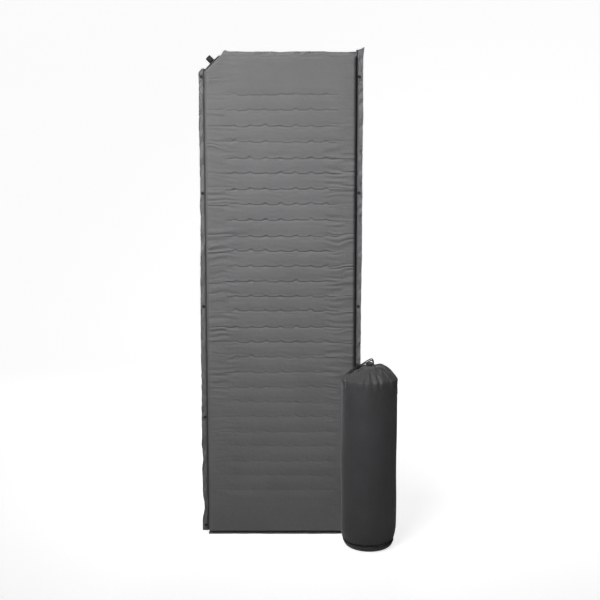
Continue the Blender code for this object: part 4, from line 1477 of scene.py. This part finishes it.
class SleepingPadSack(bpy.types.Operator):
    """The stuff sack: side and gathered mouth in one cloth, base panel, seam tape and hem"""

    bl_idname = "sleeping_pad.sack"
    bl_label = "Stuff Sack"

    def execute(self, context):
        look = context.scene.sack_look
        self.body(context, look)
        self.base(context, look)
        self.tape(context, look)
        self.hem(context, look)
        return {"FINISHED"}

    def map_cloth(self, made):
        """A UV map in metres: round the sack and along the cloth."""
        mesh = made.data
        points = read_points(mesh)
        angle = np.arctan2(points[:, 1] - SACK_AXIS.y, points[:, 0] - SACK_AXIS.x)
        reach = np.hypot(points[:, 0] - SACK_AXIS.x, points[:, 1] - SACK_AXIS.y)
        layer = mesh.uv_layers.new(name="UVMap")
        loops = np.zeros(len(mesh.loops), dtype=np.int64)
        mesh.loops.foreach_get("vertex_index", loops)
        radius = (SACK_HIGH.x - SACK_LOW.x) / 2
        u = angle[loops] * radius
        start = np.zeros(len(mesh.polygons), dtype=np.int64)
        total = np.zeros(len(mesh.polygons), dtype=np.int64)
        mesh.polygons.foreach_get("loop_start", start)
        mesh.polygons.foreach_get("loop_total", total)
        first = np.repeat(u[start], total)
        turn = 2 * math.pi * radius
        u = u - np.rint((u - first) / turn) * turn
        v = points[:, 2][loops] - reach[loops]
        layer.data.foreach_set("uv", np.stack([u, v], axis=1).ravel())

    def body(self, context, look):
        place = Matrix.Translation(SACK_AXIS)
        profile = sack_profile(look, 64)
        bm = spun(profile, look.steps, place)
        made = piece("sack_cloth", bm, finish(context, "sack_nylon"))
        points = read_points(made.data)
        write_points(made.data, self.fold(look, points))
        self.map_cloth(made)
        bm = bmesh.new()
        bm.from_mesh(made.data)
        bmesh.ops.recalc_face_normals(bm, faces=bm.faces)
        bmesh.ops.solidify(bm, geom=bm.faces, thickness=0.0006)
        bmesh.ops.recalc_face_normals(bm, faces=bm.faces)
        bm.to_mesh(made.data)
        bm.free()
        made.data.shade_smooth()
        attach(made, "sack")
        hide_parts("sack_side", "sack_mouth")

    def fold(self, look, points):
        """Gathers the cloth round the mouth, puckers it at the base seam and lets it crease between."""
        radius = (SACK_HIGH.x - SACK_LOW.x) / 2
        dx, dy, z = points[:, 0] - SACK_AXIS.x, points[:, 1] - SACK_AXIS.y, points[:, 2].copy()
        r = np.hypot(dx, dy)
        angle = np.arctan2(dx, -dy)
        ring_x, ring_y = np.cos(angle), np.sin(angle)
        share = np.clip(r / radius, 0, 1)
        top = ramp(z, look.shoulder - 0.030, look.shoulder + 0.004)
        seed = look.seed
        warp = 1.6 * smooth_noise(seed, ring_x * 1.7 + 7, ring_y * 1.7 + 7) + 0.9 * (1 - share)
        warp = warp + 0.5 * smooth_noise(seed + 1, ring_x * 5 + 9, ring_y * 5 + 9, share * 2.5)
        gather = np.abs(np.cos(look.gathers / 2 * (angle + math.pi) + warp * 1.4)) - 0.62
        lobes = np.abs(np.cos(look.gathers * 0.82 * (angle + math.pi) + warp * 2.6)) - 0.6
        varied = 0.75 + 0.85 * smooth_noise(seed + 2, ring_x * 2.6 + 4, ring_y * 2.6 + 4, share * 3)
        tall = look.gather_depth * varied * top
        outward = tall * (gather * hump(share, 0.55, 0.42) * 1.15 + lobes * ramp(share, 0.45, 0.9) * 0.85)
        deep = hump(angle, math.radians(27), 0.11) * hump(share, 0.42, 0.26) * 0.0085
        outward = outward - deep * top
        steep = np.clip((z - look.shoulder) / look.dome, 0, 1)
        full = 0.5 + 0.5 * np.cos(angle - math.radians(80))
        z = z + 0.017 * full * np.sin(math.pi * np.clip((1 - share) / 0.75, 0, 1)) ** 0.8
        up = 0.30 + 0.70 * np.sqrt(steep)
        away = np.sqrt(1 - np.clip(up, 0, 1) ** 2)
        crease = smooth_noise(seed + 3, angle * 2.2 + z / 0.05, z / 0.020 - angle * 1.6)
        below = hump(z, look.shoulder - 0.040, 0.036)
        soft = smooth_noise(seed + 4, ring_x * 1.6 + 3, ring_y * 1.6 + 3, z / 0.16)
        side = (1 - top) * (0.0020 * soft + 0.0026 * below * ridges(crease, 2.4))
        pucker_zone = hump(z, look.seam_height, 0.020)
        pucker = np.cos(look.puckers * (angle + math.pi) + 2.4
                        * smooth_noise(seed + 5, ring_x * 6, ring_y * 6))
        side = side + 0.0020 * pucker * pucker_zone * (0.7 + 0.6 * soft)
        r = r + outward * away + side - 0.0042 * (1 - ramp(z, look.seam_height, look.seam_height + 0.06))
        z = z + outward * up * top
        moved = points.copy()
        moved[:, 0] = SACK_AXIS.x + r * np.sin(angle)
        moved[:, 1] = SACK_AXIS.y - r * np.cos(angle)
        moved[:, 2] = z
        return moved

    def base(self, context, look):
        low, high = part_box("sack_base")
        rim = (high.x - low.x) / 2 - 0.0032
        flat = 0.068
        bowl = [
            (flat + (rim - flat) * math.cos(a), high.z - high.z * math.sin(a))
            for a in (math.pi / 2 * i / 10 for i in range(11))
        ]
        inner = [(max(r - 0.0010, 0.0), z + 0.0010) for r, z in reversed(bowl)]
        profile = bowl + [(flat * 0.5, 0.0), (0.0, 0.0), (0.0, 0.0010), (flat * 0.5, 0.0010)] + inner
        bm = spun(profile + [profile[0]], 144, Matrix.Translation(SACK_AXIS))
        made = piece("sack_base_panel", bm, finish(context, "sack_nylon"))
        self.map_cloth(made)
        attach(made, "sack")
        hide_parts("sack_base")

    def tape(self, context, look):
        """The binding, a round tape that the seam puckers."""
        low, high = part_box("base_binding")
        outer = (high.x - low.x) / 2
        half = (high.z - low.z) / 2
        middle = (high.z + low.z) / 2
        ring = [
            (outer - 0.0021 + 0.0021 * math.cos(a), middle + half * math.sin(a))
            for a in (2 * math.pi * i / 12 for i in range(13))
        ]
        bm = spun(ring, 216, Matrix.Translation(SACK_AXIS))
        made = piece("base_seam_tape", bm, finish(context, "seam_tape"))
        points = read_points(made.data)
        dx, dy = points[:, 0] - SACK_AXIS.x, points[:, 1] - SACK_AXIS.y
        angle = np.arctan2(dx, -dy)
        wave = smooth_noise(look.seed + 8, np.cos(angle) * 9, np.sin(angle) * 9)
        grow = 0.968 + 0.009 * wave
        points[:, 0] = SACK_AXIS.x + dx * grow
        points[:, 1] = SACK_AXIS.y + dy * grow
        points[:, 2] += 0.0007 * smooth_noise(look.seed + 9, np.cos(angle) * 7, np.sin(angle) * 7)
        write_points(made.data, points)
        self.map_cloth(made)
        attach(made, "sack")
        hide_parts("base_binding")

    def hem(self, context, look):
        """The hem channel, drawn tight into a small ruffled ring."""
        low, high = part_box("hem_channel")
        minor = (high.z - low.z) / 2
        middle = (high.z + low.z) / 2
        ring_radius = (high.x - low.x) / 2 - minor
        ring = [
            (ring_radius + minor * math.cos(a), middle + minor * math.sin(a))
            for a in (2 * math.pi * i / 20 for i in range(21))
        ]
        bm = spun(ring, 144, Matrix.Translation(SACK_AXIS))
        made = piece("mouth_hem", bm, finish(context, "sack_nylon"))
        points = read_points(made.data)
        dx, dy, dz = points[:, 0] - SACK_AXIS.x, points[:, 1] - SACK_AXIS.y, points[:, 2] - middle
        angle = np.arctan2(dx, -dy)
        r = np.hypot(dx, dy)
        warp = smooth_noise(look.seed + 11, np.cos(angle) * 3 + 5, np.sin(angle) * 3 + 5)
        ruffle = np.abs(np.cos(6.5 * (angle + math.pi) + 1.6 * warp)) - 0.6
        swell = 1 + 0.26 * ruffle
        new_r = ring_radius + (r - ring_radius) * swell + 0.0008 * ruffle
        points[:, 0] = SACK_AXIS.x + new_r * np.sin(angle)
        points[:, 1] = SACK_AXIS.y - new_r * np.cos(angle)
        points[:, 2] = middle + dz * (1 + 0.30 * ruffle)
        write_points(made.data, points)
        self.map_cloth(made)
        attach(made, "sack")
        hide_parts("hem_channel")


class SleepingPadInside(bpy.types.Operator):
    """Finishes for the pieces that stay as the CAD made them, most of them inside"""

    bl_idname = "sleeping_pad.inside"
    bl_label = "Inner Pieces"

    def execute(self, context):
        finishes = {
            "rolled_pad": "pad_polyester",
            "roll_strap": "strap_webbing",
            "valve_o_ring": "seal_rubber",
            "valve_plug": "moulded_black",
            "knob_washer": "seal_rubber",
            "lock_spring": "spring_wire",
        }
        self.foam(context)
        for node, name in finishes.items():
            mesh = frame["nodes"][node].data
            mesh.materials.clear()
            mesh.materials.append(finish(context, name))
        return {"FINISHED"}


    def foam(self, context):
        """The slotted foam core, drawn in a little from the cover that hugs it."""
        bm = bmesh.new()
        bm.from_mesh(frame["nodes"]["foam_core"].data)
        middle = (FACE_LOW.z + FACE_HIGH.z) / 2
        place = Matrix.Translation((0, 0, middle))
        bmesh.ops.scale(bm, vec=(0.987, 0.84, 0.996), verts=bm.verts, space=place.inverted())
        made = piece("foam_slab", bm, finish(context, "open_cell_foam"), smooth=False)
        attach(made, "pad")
        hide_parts("foam_core")


# ---------------------------------------------------------------- panel and registration


OPERATORS = (
    SleepingPadStage,
    SleepingPadDrawcord,
    SleepingPadCordLock,
    SleepingPadCover,
    SleepingPadFlanges,
    SleepingPadSnaps,
    SleepingPadValve,
    SleepingPadSack,
    SleepingPadInside,
)


class SleepingPadPanel(bpy.types.Panel):
    """Lists the pieces of the pad and its sack"""

    bl_idname = "VIEW3D_PT_sleeping_pad"
    bl_label = "Sleeping Pad"
    bl_space_type = "VIEW_3D"
    bl_region_type = "UI"
    bl_category = "Sleeping Pad"

    def draw(self, context):
        for operator in OPERATORS:
            self.layout.operator(operator.bl_idname)
        for name, group in SETTINGS.items():
            box = self.layout.box()
            box.label(text=name.replace("_", " "))
            for key in group.__annotations__:
                box.prop(getattr(context.scene, name), key)


def register():
    for name, group in SETTINGS.items():
        bpy.utils.register_class(group)
        setattr(bpy.types.Scene, name, PointerProperty(type=group))
    for operator in OPERATORS:
        bpy.utils.register_class(operator)
    bpy.utils.register_class(SleepingPadPanel)


def unregister():
    bpy.utils.unregister_class(SleepingPadPanel)
    for operator in reversed(OPERATORS):
        bpy.utils.unregister_class(operator)
    for name, group in SETTINGS.items():
        delattr(bpy.types.Scene, name)
        bpy.utils.unregister_class(group)


def main():
    register()
    bpy.ops.sleeping_pad.stage()
    bpy.ops.sleeping_pad.drawcord()
    bpy.ops.sleeping_pad.cord_lock()
    bpy.ops.sleeping_pad.cover()
    bpy.ops.sleeping_pad.flanges()
    bpy.ops.sleeping_pad.snaps()
    bpy.ops.sleeping_pad.valve()
    bpy.ops.sleeping_pad.sack()
    bpy.ops.sleeping_pad.inside()
    bpy.context.view_layer.update()


if __name__ == "__main__":
    main()
